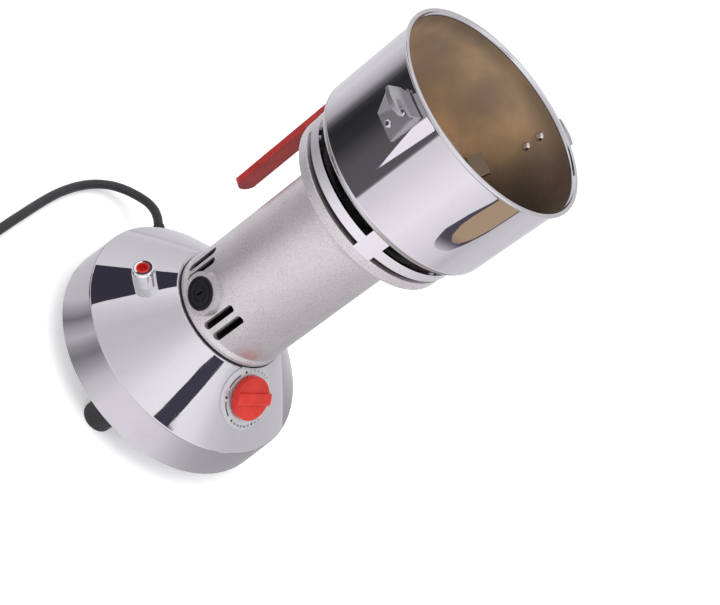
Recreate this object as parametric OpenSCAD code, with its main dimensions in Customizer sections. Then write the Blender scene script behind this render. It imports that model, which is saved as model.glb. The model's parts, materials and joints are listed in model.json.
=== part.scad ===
// Upright high-speed grinder: round base, motor column, ring of air gaps, open grinding bowl.
// Millimetres, Z up, feet on z = 0, the column on the Z axis, the timer knob facing -Y.

/* [Base] */
// Outer radius of the base skirt at its lower edge
base_r = 101.5; // [92:0.5:110]
// How much narrower the skirt is at its upper edge
skirt_taper = 1.7; // [0:0.1:4]
// Height of the skirt
skirt_h = 32.9; // [24:0.1:45]
// Rise of the cone above the skirt
cone_h = 43.7; // [38:0.1:50]
// Radius of the flat landing on top of the cone
landing_r = 51.6; // [50.8:0.1:56]
// Thickness of the base sheet
base_t = 1.2; // [0.8:0.1:2]
// Radius of the bend between skirt and cone
base_bend = 2.2; // [1.5:0.1:5]
// Width of the welded joint in the skirt
seam_w = 0.8; // [0.4:0.1:1.2]
// Place of the welded joint, degrees from the front
seam_turn = -131; // [-140:1:-125]
// Thickness of the bottom plate
bottom_t = 1.5; // [1:0.1:3]
// Height of the rubber feet
foot_h = 19; // [12:0.5:24]
// Radius of the rubber feet
foot_r = 12.8; // [9:0.1:14]
// How far the feet stay inside the edge of the skirt
foot_inset = 1.4; // [0.5:0.1:8]
// Turn of the first foot, degrees from the front
foot_turn = -58; // [-65:1:-50]
// Thickness of the gasket under the motor housing
gasket_t = 1.1; // [0.6:0.1:2]
// How far the gasket stays inside the landing's edge
gasket_inset = 1.6; // [0.3:0.1:2.2]

/* [Motor housing] */
// Outer radius of the housing foot
house_foot_r = 49.6; // [49:0.1:50.2]
// Outer radius of the housing body low down
house_low_r = 48.1; // [47.6:0.1:49]
// Outer radius of the housing body high up
house_top_r = 47.1; // [46.6:0.1:48]
// Bore of the housing
house_bore = 44; // [43:0.1:45]
// Height from the housing foot to the underside of its flange
house_h = 156.6; // [152:0.1:170]
// Thickness of the flange rim
flange_t = 8.6; // [6:0.1:12]
// Outer radius of the flange
flange_r = 70.8; // [70:0.1:74]
// Height of the brush axis above the housing foot
brush_z = 21.1; // [20:0.1:23]
// Turn of the brushes, degrees from the front
side_turn = -86.6; // [-90:0.1:-82]
// Outer radius of the brush boss
boss_r = 16.2; // [15:0.1:17]
// Distance of the brush boss face from the axis
boss_face = 52.4; // [51.5:0.1:54]
// Width of a vent slot
vent_w = 5.3; // [4:0.1:6]
// Length of a vent slot
vent_l = 31.1; // [26:0.1:32]
// How far the middle of the slots lies above the brush axis
vent_rise = 1; // [0:0.1:2]
// Distance of the inner vent slots sideways from the brush axis
vent_in = 20.1; // [19:0.1:21]
// Distance of the outer vent slots sideways from the brush axis
vent_out = 29; // [28:0.1:30]

/* [Ring of air gaps] */
// Outer radius of the ring
ring_r = 71.5; // [70:0.1:75]
// Wall of the ring
ring_t = 2.4; // [1.5:0.1:4]
// Height of the lower gap
gap_low = 5; // [3:0.1:7]
// Height of the band between the gaps
band_h = 8; // [5:0.1:12]
// Height of the upper gap
gap_top = 9.1; // [6:0.1:12]
// Width of the four posts
post_w = 15; // [12:0.5:20]
// Turn of the first post
post_turn = -42.3; // [-50:0.1:-38]

/* [Bowl] */
// Outer radius of the bowl
bowl_r = 79.4; // [77:0.1:84]
// Height of the bowl
bowl_h = 87.3; // [75:0.1:110]
// Wall of the bowl
bowl_t = 1.5; // [1:0.1:2.5]
// Thickness of the bowl floor
floor_t = 4; // [3.5:0.1:6]
// Outer radius of the bend at the bottom
bowl_bend = 7; // [4:0.5:12]
// How far the mouth flares out
flare = 1.6; // [1:0.1:3]
// Radius of the rolled bead
bead_r = 1.6; // [1.2:0.1:2.2]

/* [Latch keepers] */
// Turn of the keepers, degrees from the front
keeper_turn = -85.2; // [-90:0.1:-80]
// Width of a keeper
keeper_w = 21.6; // [18:0.1:28]
// Height of a keeper plate
keeper_h = 27.3; // [26:0.1:32]
// Reach of the keeper shelf from the axis
keeper_d = 102.7; // [98:0.1:106]
// Sheet of the keepers
keeper_t = 1.4; // [1:0.1:2]
// Height of the keeper shelf above the bowl floor plane
keeper_z = 79.5; // [76:0.5:81]
// Distance between the two rivets
rivet_gap = 13; // [11:0.5:15]

/* [Handle] */
// Distance of the handle's inner face from the axis
handle_in = 79.8; // [77:0.1:84]
// Thickness of the handle
handle_t = 5.8; // [5:0.1:10]
// Width of the handle
handle_w = 18; // [16:0.5:26]
// Length of the handle
handle_l = 139; // [110:1:150]

/* [Timer] */
// Place of the knob, degrees from the front
knob_turn = 1.9; // [-4:0.1:4]
// Place of the knob down the slope of the cone
knob_s = 20.8; // [18:0.1:26]
// Radius of the knob
knob_r = 17.6; // [15:0.1:20]
// Height of the knob's disc above the cone
knob_h = 6.6; // [5.5:0.1:9]
// Height of the grip bar above the cone
knob_bar_h = 9.6; // [8:0.1:16]
// Width of the grip bar
knob_bar_w = 10; // [7:0.1:12]
// Radius of the dial pad
dial_r = 25.3; // [21:0.1:26]
// Thickness of the dial pad, which follows the cone
dial_h = 1; // [0.5:0.1:1.4]

/* [Reset button] */
// Place of the button, degrees from the front
button_turn = -113.6; // [-125:0.1:-100]
// Place of the button down the slope of the cone
button_s = 24.8; // [23:0.1:34]
// Outer radius of the chromed sleeve
sleeve_r = 8.8; // [7.6:0.1:10]
// Height of the sleeve above the cone
sleeve_h = 15.5; // [13:0.1:22]
// Radius of the red button
button_r = 5; // [4.6:0.1:6.3]
// Radius of the hollow in the button
hollow_r = 3.6; // [3:0.1:4.2]
// Travel of the button
button_travel = 3; // [2:0.5:4]

/* [Motor and blades] */
// Radius of the motor shaft
shaft_r = 7.5; // [7:0.1:8]
// Radius of the armature core
armature_r = 24; // [22:0.1:25]
// Length of the armature core
armature_l = 74; // [50:1:80]
// Air gap between armature and stator
air_gap = 0.6; // [0.4:0.1:1]
// Radius of the commutator
commutator_r = 14; // [12:0.1:15]
// Reach of the lower blade from the axis
low_blade_r = 60; // [50:1:66]
// Reach of the upper blade from the axis
top_blade_r = 64; // [55:1:71]
// Thickness of the blades
blade_t = 2.5; // [1.5:0.1:3]
// Turn of the upper blade at rest, degrees from the front
blade_turn = 93.5; // [0:0.5:180]

/* [Cord] */
// Diameter of the cord
cord_d = 7.8; // [6.4:0.1:8.4]
// Place where the cord leaves the skirt, degrees from the front
cord_turn = 169.5; // [165:0.1:175]
// Length of the strain relief outside the skirt
relief_l = 20; // [20:1:40]

/* [Hidden] */
$fn = 64;
fit = 0.05;          // clearance of a running or pressed fit
gap = 0.3;           // clearance between pieces that only pass each other
edge = 1;            // small rounding on machined and cast edges
far = 400;           // longer than anything that has to be cut through

// Heights, from the floor up
skirt_top_r = base_r - skirt_taper;
skirt_z = foot_h + skirt_h;
landing_z = skirt_z + cone_h;
house_z = landing_z + gasket_t;
brush_height = house_z + brush_z;
flange_low_z = house_z + house_h;
flange_top_z = flange_low_z + flange_t;
band_low_z = flange_top_z + gap_low;
band_top_z = band_low_z + band_h;
bowl_z = band_top_z + gap_top;
floor_z = bowl_z + floor_t;
rim_z = bowl_z + bowl_h;

// Slope of the cone
slope = atan2(cone_h, skirt_top_r - landing_r);

// Inside the base
plate_z = foot_h;
ledge_t = 1.2;
ledge_r = base_r - 17.5;
landing_hole = 36;
gasket_r = landing_r - gasket_inset;
foot_ring = base_r - foot_inset - foot_r;
screw_ring = base_r - 13.5;

// Motor
web_t = 4;
low_race = 15;
low_boss = low_race + 4;
low_race_h = 9;
journal_r = 5;
top_race = 17.5;
top_race_h = 11;
race_t = 3.2;
low_bearing_z = house_z + 3;
commutator_z = low_bearing_z + low_race_h + 1.2;
commutator_l = 17;
core_z = commutator_z + commutator_l + 12;
core_top = core_z + armature_l;
stator_r = house_bore - fit;
stator_bore = armature_r + air_gap;
slots = 12;
slot_r = 3.1;
slot_ring = armature_r - 4.6;
bracket_r = 55;
bracket_t = 3;
bracket_z = flange_top_z - bracket_t;
hub_r = 22;
hub_z = bracket_z - 12;
top_bearing_z = hub_z + 3;
fan_r = 53;
fan_z = band_low_z - 0.6;
fan_h = 9.5;
fan_blades = 12;
post_ring = 64.5;
post_in = 58.5;
bolt_r = 2.5;
bolt_head_h = 1.8*bolt_r;
house_screw_r = 2.05;
bolt_ring = 43;
bracket_screw_ring = 49.5;
bracket_screw_r = 1.55;
foot_screw_r = 2.1;
foot_pad = 4;        // rubber between the foot screw's head and the plate
plate_screw_r = 1.65;
screw_turn = foot_turn + 25;

// Bowl
flare_z = rim_z - 10.5;
lip_z = rim_z - 6.5;
rivet_r = 1.9;
rivet_head_r = 2.9;

// Blade stack
seal_h = 5;
seal_r = 17.5;
seal_bore = 12;
seal_screw_ring = 14.8;
seal_screw_r = 1.5;
shoulder_z = floor_z + seal_h + 1.2;
spacer_h = 6;
top_blade_z = shoulder_z + blade_t + spacer_h;
nut_z = top_blade_z + blade_t;
nut_h = 8;
nut_af = 17;
stud_r = 5;
tip_rise = 10;       // how far the upper blade's tips stand up
tip_run = 8;         // and the length over which they rise
blade_root = 13;     // half the width of a blade at its middle

// Brushes
brush_w = 8;
brush_tall = 11;
holder_r = 8.4;
holder_in = 20;      // distance of the holder's inner end from the axis
cap_r = 12.7;
cap_t = 4.2;
cap_face = boss_face + 0.8;
holder_out = cap_face - cap_t;
brush_l = 17;

// Timer and reset button
bush_r = 5;
spindle_r = 3;
timer_drop = 3.4;    // how far the body hangs below the outside of the cone
timer_deep = 26;
spindle_in = 11.9;   // how far the spindle reaches into the body
nut_low = 2.4;       // height of the timer's nut
sleeve_bore = button_r + 0.1;
tail_r = 6.2;        // threaded end of the sleeve
stem_r = 2.5;        // stem of the button

// Handle
handle_top = bowl_z - 2;
handle_low = handle_top - handle_l;
handle_recess = 2.6;
lug_w = handle_w - 3;
handle_screw_z = [flange_top_z - 22, flange_top_z - 7];

// Strain relief and cord
relief_z = foot_h + 8.5;
relief_neck_r = 5.2;
relief_base_r = 6.4;
relief_tip_r = cord_d/2 + 0.6;
clamp_r = base_r - 25.5;
terminal_r = base_r - 49.5;
relief_end = base_r - 0.2 + relief_l;
cord_start = [relief_end*sin(cord_turn), -relief_end*cos(cord_turn), relief_z];
cord_heading = [sin(cord_turn), -cos(cord_turn), 0];
lie = cord_d/2;
coil_lift = 1.2;
coil_at = [-196, 116];
coil_mid = 40;
coil_turns_wide = 2;
coil_turns_high = 3;
coil_in = coil_mid - coil_turns_wide*cord_d/2;
coil_out = coil_mid + coil_turns_wide*cord_d/2;
coil_h = coil_turns_high*cord_d;
coil_entry = -60;    // where the cord runs onto the coil, degrees from +X
coil_leave = -150;   // where it runs off again
coil_clear = 27;     // how far from where it would touch the coil a straight end still clears it
route = [[24.2, 135.2, 26.2], [23.4, 143.8, 23.1], [20.7, 151, 19.4], [16.5, 157, 16], [11, 162, 13],
    [3.5, 165.8, 10.2], [-4.5, 167.6, 7.9], [-13, 167.8, 6.1], [-21.2, 166.6, 4.9], [-29.5, 164.3, 4.2],
    [-37.5, 161.4, 3.9], [-52.7, 154.3, 3.9], [-67, 146.1, 3.9], [-81, 137.2, 3.9], [-95, 127.9, 3.9],
    [-109, 118.6, 3.9], [-122.5, 109.3, 4], [-136.5, 100.2, 4.4]];
tail_l = 62;
plug_l = 36;
plug_w = 26;
plug_t = 21;

// Small shared functions

// A point at radius r and angle a, for profiles in the plane
function polar(r, a) = [r*cos(a), r*sin(a)];
// Points of an arc about c
function arc(c, r, a0, a1, n = 6) = [for (i = [0:n]) c + polar(r, a0 + (a1 - a0)*i/n)];
// An angle brought within half a turn of another
function near(a, b) = a - b > 180 ? a - 360 : a - b < -180 ? a + 360 : a;
// The arc of radius r that rounds corner b of the path a, b, c
function rounding(a, b, c, r, n = 5) =
    let (u = (a - b)/norm(a - b), v = (c - b)/norm(c - b), half = acos(u*v)/2,
        o = b + (u + v)/norm(u + v)*r/sin(half),
        p = b + u*r/tan(half), q = b + v*r/tan(half),
        a0 = atan2(p.y - o.y, p.x - o.x), a1 = near(atan2(q.y - o.y, q.x - o.x), a0))
    arc(o, r, a0, a1, n);
// A path with its inner corners rounded by the radii given, 0 leaves a corner sharp
function rounded(p, r) = [for (i = [0:len(p) - 1])
    each (i == 0 || i == len(p) - 1 || r[i] == 0 ? [p[i]] : rounding(p[i-1], p[i], p[i+1], r[i]))];
// Left-hand normal of the line from a to b
function left(a, b) = [a.y - b.y, b.x - a.x]/norm(b - a);
// The path moved to its left by t, with mitred corners
function beside(p, t) = [for (i = [0:len(p) - 1])
    let (m = i == 0 ? left(p[0], p[1]) : left(p[i-1], p[i]), n = i == len(p) - 1 ? m : left(p[i], p[i+1]))
    p[i] + t*(m + n)/(1 + m*n)];
function reversed(p) = [for (i = [len(p) - 1:-1:0]) p[i]];

module turned(profile) { rotate_extrude() polygon(profile); }
// Children modelled on the -Y side are turned to the angle a from the front
module turn(a) { rotate([0, 0, a]) children(); }
// Four copies about the axis at radius r, the first at the angle a from the front
module four(a, r = 0) { for (i = [0:3]) turn(a + 90*i) translate([0, -r, 0]) children(); }
// Three copies about the axis at radius r
module three(r) { for (i = [0:2]) turn(120*i) translate([0, -r, 0]) children(); }
// A hole or pin of radius r, upwards from z
module pin(r, z, h = 10) { translate([0, 0, z]) cylinder(h = h, r = r); }
// A rod that runs outwards from the axis, from r0 to r1, at height z
module radial(r0, r1, rad, z, rad2 = -1) {
    translate([0, -r0, z]) rotate([90, 0, 0]) cylinder(h = r1 - r0, r1 = rad, r2 = rad2 < 0 ? rad : rad2);
}
// Children sit on the cone, local Z outwards, local Y up the slope
module on_cone(a, s) {
    turn(a) translate([0, -landing_r - s*cos(slope), landing_z - s*sin(slope)])
        rotate([slope, 0, 0]) children();
}
module at_knob() { on_cone(knob_turn, knob_s) children(); }
module at_button() { on_cone(button_turn, button_s) children(); }
module ring(r_out, r_in, h, z = 0) {
    translate([0, 0, z]) difference() {
        cylinder(h = h, r = r_out);
        translate([0, 0, -1]) cylinder(h = h + 2, r = r_in);
    }
}
// Everything within the outside of the base, grown by d, to cut what is seated on it
module base_form(d = 0) {
    rotate_extrude($fn = 256) polygon([[0, 0], [base_r + d, 0], [base_r + d, foot_h],
        [skirt_top_r + d, skirt_z],
        [landing_r + d*sin(slope), landing_z + d*cos(slope)], [0, landing_z + d*cos(slope)]]);
}
// A rectangle with round corners about the origin
module round_rect(w, h, r) {
    square([w - 2*r, h], center = true);
    square([w, h - 2*r], center = true);
    for (x = [-1, 1]) for (y = [-1, 1]) translate([x*(w/2 - r), y*(h/2 - r)]) circle(r = r);
}
// Sector of a ring between two angles from the front
module sector(r_out, r_in, h, z, a0, a1) {
    translate([0, 0, z]) rotate([0, 0, a0 - 90]) rotate_extrude(angle = a1 - a0)
        translate([r_in, 0]) square([r_out - r_in, h]);
}
module screw(r, l, head_r, head_h) {
    translate([0, 0, -l]) cylinder(h = l, r = r);
    cylinder(h = head_h, r1 = head_r, r2 = head_r*0.7);
}
// A socket cap screw, its head above z = 0
module cap_screw(r, l) {
    translate([0, 0, -l]) cylinder(h = l, r = r);
    difference() {
        cylinder(h = 2*r*0.9, r = 1.7*r);
        translate([0, 0, r*0.8]) cylinder(h = 2*r, r = r, $fn = 6);
    }
}

// Base

base_path = [[base_r, foot_h], [skirt_top_r, skirt_z], [landing_r, landing_z], [landing_hole, landing_z]];
base_inner = beside(base_path, base_t);
module base_shell() {
    color([0.8, 0.8, 0.82]) difference() {
        union() {
            turned(concat(rounded(base_path, [0, base_bend, base_bend, 0]),
                reversed(rounded(base_inner, [0, base_bend - base_t, base_bend - base_t, 0]))));
            ring(base_r - base_t + 0.1, ledge_r, ledge_t, plate_z + bottom_t);
        }
        turn(seam_turn) translate([-seam_w/2, -base_r - 1, foot_h - 1]) cube([seam_w, 1.5, skirt_h - 1]);
        at_knob() pin(bush_r + fit, -5);
        at_button() pin(tail_r + fit, -5);
        turn(cord_turn) radial(base_r - 8, base_r + 8, relief_neck_r + fit, relief_z);
        four(45, bolt_ring) pin(bolt_r + 0.2, landing_z - 5);
        four(screw_turn, screw_ring) pin(plate_screw_r + fit, plate_z);
        four(foot_turn, foot_ring) pin(foot_screw_r + fit, plate_z);
    }
}
module bottom_plate() {
    air_hole = 2.4;
    air_pitch = 12;
    color([0.7, 0.7, 0.72]) difference() {
        pin(base_r - base_t - gap, plate_z, bottom_t);
        four(foot_turn, foot_ring) pin(foot_screw_r + fit, plate_z - 1);
        four(screw_turn, screw_ring) pin(plate_screw_r + fit, plate_z - 1);
        // three circles of air holes under the motor
        for (r = [1:3]) for (i = [0:6*r - 1]) turn(i*60/r)
            translate([0, -air_pitch*r, 0]) pin(air_hole, plate_z - 1);
    }
}
module bottom_plate_screws() {
    color([0.6, 0.6, 0.62]) four(screw_turn, screw_ring)
        translate([0, 0, plate_z]) rotate([180, 0, 0]) screw(plate_screw_r, bottom_t + 4, 3.6, 2);
}
module rubber_feet() {
    well = 5;
    well_z = foot_h - foot_pad;
    color([0.08, 0.08, 0.09]) four(foot_turn, foot_ring)
        turned(concat([[well, 0]], rounding([well, 0], [foot_r - 0.5, 0], [foot_r, foot_h], edge, 4),
            [[foot_r, foot_h], [foot_screw_r + fit, foot_h], [foot_screw_r + fit, well_z], [well, well_z]]));
}
module foot_screws() {
    color([0.6, 0.6, 0.62]) four(foot_turn, foot_ring)
        translate([0, 0, foot_h - foot_pad]) rotate([180, 0, 0])
            screw(foot_screw_r, foot_pad + bottom_t + 4, 4.2, 2.2);
}
module housing_gasket() {
    color([0.05, 0.05, 0.05]) difference() {
        ring(gasket_r, landing_hole, gasket_t, landing_z);
        four(45, bolt_ring) pin(bolt_r + 0.2, landing_z - 1);
    }
}

// Motor housing

// Children on the brush axis, once on each side
module brush_gear() { for (i = [0, 1]) turn(side_turn + 180*i) children(); }
// A vent slot with round ends, cut along the brush axis at x
module slot_cut(x) {
    low = brush_height + vent_rise - (vent_l - vent_w)/2;
    translate([x, 0, 0]) {
        for (z = [low, low + vent_l - vent_w]) radial(house_bore/2, house_bore + 16, vent_w/2, z);
        translate([-vent_w/2, -house_bore - 16, low]) cube([vent_w, house_bore/2 + 16, vent_l - vent_w]);
    }
}
module motor_housing() {
    neck = 16;           // height of the curve into the flange
    boss_root = 1.5;     // how much wider the brush boss is at its root
    seat = 2;            // width of the seat under the stator
    air_r = 7;           // air holes in the floor
    air_ring = 32;
    outer = rounded([[house_bore, house_z], [house_foot_r, house_z], [house_foot_r, house_z + 3],
        [house_low_r, house_z + 7], [house_top_r, flange_low_z - neck], [house_top_r + 5, flange_low_z - 3],
        [flange_r, flange_low_z], [flange_r, flange_top_z], [bracket_r + fit, flange_top_z]],
        [0, 0.6, 1.5, 4, 12, 6, edge, edge, 0]);
    color([0.66, 0.65, 0.66]) difference() {
        union() {
            turned(concat([[low_race + fit, house_z + 3], [low_boss, house_z]], outer,
                [[bracket_r + fit, bracket_z], [house_bore, bracket_z], [house_bore, core_z - fit],
                [house_bore - seat, core_z - fit], [house_bore - seat, core_z - 6], [house_bore, core_z - 9],
                [house_bore, house_z + web_t], [low_boss, house_z + web_t],
                [low_boss, low_bearing_z + low_race_h], [low_race + fit, low_bearing_z + low_race_h]]));
            ring(low_boss, journal_r + 2, 3, house_z);
            brush_gear() difference() {
                radial(house_bore - 8, boss_face, boss_r + boss_root, brush_height, boss_r);
                cylinder(h = far, r = house_bore + 1.5);
            }
            // lug behind the handle
            turn(180) translate([-lug_w/2, 0, 0]) rotate([90, 0, 90]) linear_extrude(lug_w)
                polygon([[-house_bore - 1.5, flange_low_z - 30], [-handle_in, flange_low_z - 22],
                    [-handle_in, flange_top_z], [-bracket_r - 2, flange_top_z],
                    [-bracket_r - 2, bracket_z - 2], [-house_bore - 1.5, bracket_z - 5]]);
        }
        brush_gear() {
            radial(house_bore - 6, boss_face + 2, holder_r + fit, brush_height);
            radial(holder_out, boss_face + 2, cap_r + fit, brush_height);
            for (x = [-vent_out, -vent_in, vent_in, vent_out]) slot_cut(x);
        }
        four(post_turn, post_ring) {
            pin(bolt_r + 0.2, flange_low_z - 12, 40);
            pin(2*bolt_r, flange_low_z - 12, 12 + bolt_head_h + 0.2);
        }
        four(45, bolt_ring) pin(house_screw_r + fit, house_z - 1, 9);
        four(45, bracket_screw_ring) pin(bracket_screw_r + fit, bracket_z - 9);
        four(0, air_ring) pin(air_r, house_z - 1);
        for (z = handle_screw_z) turn(180) radial(handle_in - 13, handle_in + 1, house_screw_r + fit, z);
    }
}
module housing_screws() {
    color([0.6, 0.6, 0.62]) four(45, bolt_ring) translate([0, 0, landing_z - base_t]) rotate([180, 0, 0])
        cap_screw(house_screw_r, base_t + gasket_t + web_t - 0.5);
}
module bearing_bracket() {
    arm = [12, bracket_t + 3];
    color([0.7, 0.7, 0.71]) difference() {
        union() {
            ring(bracket_r, house_bore - 2, bracket_t, bracket_z);
            ring(hub_r, shaft_r + 1.5, bracket_z + bracket_t - hub_z, hub_z);
            four(post_turn, house_bore - 1) translate([-arm.x/2, 0, bracket_z + bracket_t - arm.y])
                cube([arm.x, house_bore - hub_r + 1, arm.y]);
        }
        pin(top_race + fit, top_bearing_z, far);
        four(45, bracket_screw_ring) pin(2, bracket_z - 1);
    }
}
module bracket_screws() {
    color([0.6, 0.6, 0.62]) four(45, bracket_screw_ring)
        translate([0, 0, flange_top_z]) screw(bracket_screw_r, bracket_t + 7, 3.2, 1.8);
}
// Balls run a little way into grooves in both rings
function ball_r(r_out, r_in) = (r_out - r_in)/2 - race_t + 0.6;
// Outer ring of a ball bearing with its balls
module bearing(r_out, r_in, h, z) {
    mid = (r_out + r_in)/2;
    ring(r_out, r_out - race_t, h, z);
    for (i = [0:7]) turn(45*i) translate([0, -mid, z + h/2]) sphere(r = ball_r(r_out, r_in), $fn = 32);
}
module upper_bearing() { color([0.75, 0.75, 0.77]) bearing(top_race, shaft_r, top_race_h, top_bearing_z); }
module lower_bearing() { color([0.75, 0.75, 0.77]) bearing(low_race, journal_r, low_race_h, low_bearing_z); }

// Stator

coil_arc = 56;       // half the arc between the two sides of a field coil, degrees
coil_side = 5;       // half the arc of one side
coil_slack = 0.6;    // room beside it in its slot, degrees
coil_r0 = 31;
coil_r1 = 38;
coil_head = 8.5;     // height of a coil's head
module stator_core() {
    half = coil_side + coil_slack;
    color([0.35, 0.36, 0.38]) difference() {
        ring(stator_r, stator_bore, armature_l, core_z);
        for (i = [0, 1]) for (s = [-coil_arc, coil_arc])
            sector(coil_r1 + gap, coil_r0 - gap, armature_l + 2, core_z - 1,
                90 + 180*i + s - half, 90 + 180*i + s + half);
    }
}
module field_coils() {
    half = coil_side - coil_slack/2;
    color([0.62, 0.3, 0.14]) for (i = [0, 1]) turn(90 + 180*i) {
        for (z = [core_z - coil_head - 0.5, core_top + 0.5])
            sector(coil_r1, coil_r0, coil_head, z, -coil_arc - coil_side, coil_arc + coil_side);
        for (s = [-coil_arc, coil_arc])
            sector(coil_r1 - gap, coil_r0 + gap, armature_l + 16, core_z - 8, s - half, s + half);
    }
}

// Brush gear

module brush_holders() {
    color([0.72, 0.58, 0.3]) brush_gear() difference() {
        radial(holder_in, holder_out, holder_r, brush_height);
        translate([-brush_w/2 - fit, -holder_out - 1, brush_height - brush_tall/2 - fit])
            cube([brush_w + 2*fit, holder_out - holder_in + 2, brush_tall + 2*fit]);
    }
}
module carbon_brushes() {
    color([0.13, 0.13, 0.14]) brush_gear() difference() {
        translate([-brush_w/2, -commutator_r - brush_l, brush_height - brush_tall/2])
            cube([brush_w, brush_l + 3, brush_tall]);
        translate([0, 0, brush_height - 20]) cylinder(h = 40, r = commutator_r + fit);
    }
}
// A tube polyhedron along points p, n sides, radius r, with rings square to the path
function unit(v) = v/norm(v);
function along(p, i) = unit(p[min(i + 1, len(p) - 1)] - p[max(i - 1, 0)]);
function across(t) = unit(cross(abs(t.z) > 0.9 ? [1, 0, 0] : [0, 0, 1], t));
module tube(p, r, n) {
    rings = [for (i = [0:len(p) - 1]) let (t = along(p, i), u = across(t), v = cross(t, u))
        for (k = [0:n - 1]) p[i] + r*(cos(360*k/n)*u + sin(360*k/n)*v)];
    sides = [for (i = [0:len(p) - 2]) for (k = [0:n - 1]) let (m = (k + 1) % n)
        each [[i*n + k, i*n + n + m, i*n + m], [i*n + k, i*n + n + k, i*n + n + m]]];
    ends = [[for (k = [0:n - 1]) k], [for (k = [n - 1:-1:0]) (len(p) - 1)*n + k]];
    polyhedron(points = rings, faces = concat(sides, ends), convexity = 10);
}
module brush_springs() {
    coils = 5;
    coil_r = 3;
    wire_r = 0.5;
    r0 = commutator_r + brush_l + 0.9;
    r1 = holder_out - 0.9;
    color([0.7, 0.7, 0.72]) brush_gear() tube([for (i = [0:10*coils])
        [coil_r*cos(36*i), -r0 - (r1 - r0)*i/(10*coils), brush_height + coil_r*sin(36*i)]], wire_r, 5);
}
// A shallow round groove of radius r in the face of a brush cap
module cap_groove(r) {
    w = 0.7;
    difference() {
        radial(cap_face - 0.5, cap_face + 1, r + w/2, brush_height);
        radial(cap_face - 1, cap_face + 2, r - w/2, brush_height);
    }
}
module brush_caps() {
    slot = [1.6, 2.4, 6];    // width, depth and length of the screwdriver slot
    color([0.07, 0.07, 0.08]) brush_gear() difference() {
        radial(holder_out, cap_face, cap_r, brush_height);
        for (r = [0.45*cap_r, 0.82*cap_r]) cap_groove(r);
        translate([-slot.x/2, -cap_face - 1, brush_height - slot.z/2]) cube(slot + [0, 1, 0]);
    }
}

// Ring of air gaps and bowl

module vent_ring() {
    color([0.85, 0.85, 0.87]) difference() {
        union() {
            ring(ring_r, ring_r - ring_t, band_h, band_low_z);
            intersection() {
                ring(ring_r, post_in, bowl_z - flange_top_z, flange_top_z);
                four(post_turn, ring_r + 1)
                    translate([-post_w/2, 0, flange_top_z]) cube([post_w, 20, bowl_z - flange_top_z]);
            }
        }
        four(post_turn, post_ring) pin(bolt_r + 0.2, flange_top_z - 1, 40);
    }
}
module bowl() {
    shaft_hole = shaft_r + 2;
    bead_z = rim_z - bead_r;
    bead_at = bowl_r + flare - 0.2;
    wall = [[shaft_hole, bowl_z], [bowl_r, bowl_z], [bowl_r, flare_z], [bowl_r + flare, lip_z],
        [bowl_r + flare, bead_z - 1]];
    inner = [[bowl_r - bowl_t, floor_z], [bowl_r - bowl_t, flare_z], [bowl_r + flare - bowl_t, lip_z],
        [bowl_r + flare - bowl_t, bead_z - 1]];
    color([0.86, 0.86, 0.88]) difference() {
        rotate_extrude() union() {
            polygon(concat(rounded(wall, [0, bowl_bend, 6, 3, 0]),
                reversed(rounded(concat([[shaft_hole, floor_z]], inner), [0, bowl_bend - bowl_t, 6, 3, 0]))));
            translate([bead_at, bead_z]) circle(r = bead_r, $fn = 32);
        }
        four(post_turn, post_ring) pin(bolt_r + fit, bowl_z - 1, floor_t - 0.2);
        three(seal_screw_ring) pin(seal_screw_r + fit, bowl_z - 1);
        for (i = [0, 1]) turn(keeper_turn + 180*i) for (z = [-1, 1])
            radial(bowl_r - 5, bowl_r + 5, rivet_r + fit, rivet_mid + z*rivet_gap/2);
    }
}
module bowl_screws() {
    head_z = flange_low_z + bolt_head_h + 0.2;
    color([0.6, 0.6, 0.62]) four(post_turn, post_ring) translate([0, 0, head_z]) rotate([180, 0, 0])
        cap_screw(bolt_r, bowl_z + floor_t - 1.4 - head_z);
}

// Latch keepers: a riveted back plate, a shelf with a hook slot, a deep and a shallow side

keeper_top = bowl_z + keeper_z;
plate_low = keeper_top - keeper_h;
rivet_mid = keeper_top - 16.7;
keeper_back = bowl_r + fit;
keeper_plate = keeper_back + keeper_t;
shelf_bow = 26;      // radius of the shelf's front edge
lip_mid = 3.6;       // height of the lip under the middle of the shelf's front edge
lip_end = 2;         // and at its two ends
deep_side = 11.3;    // reach of the deep side at half height
shallow_side = 5;    // reach of the shallow side under the shelf
bar_in = 4.6;        // width of the hook bar where it starts
bar_out = 1.3;       // and at its free end
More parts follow.
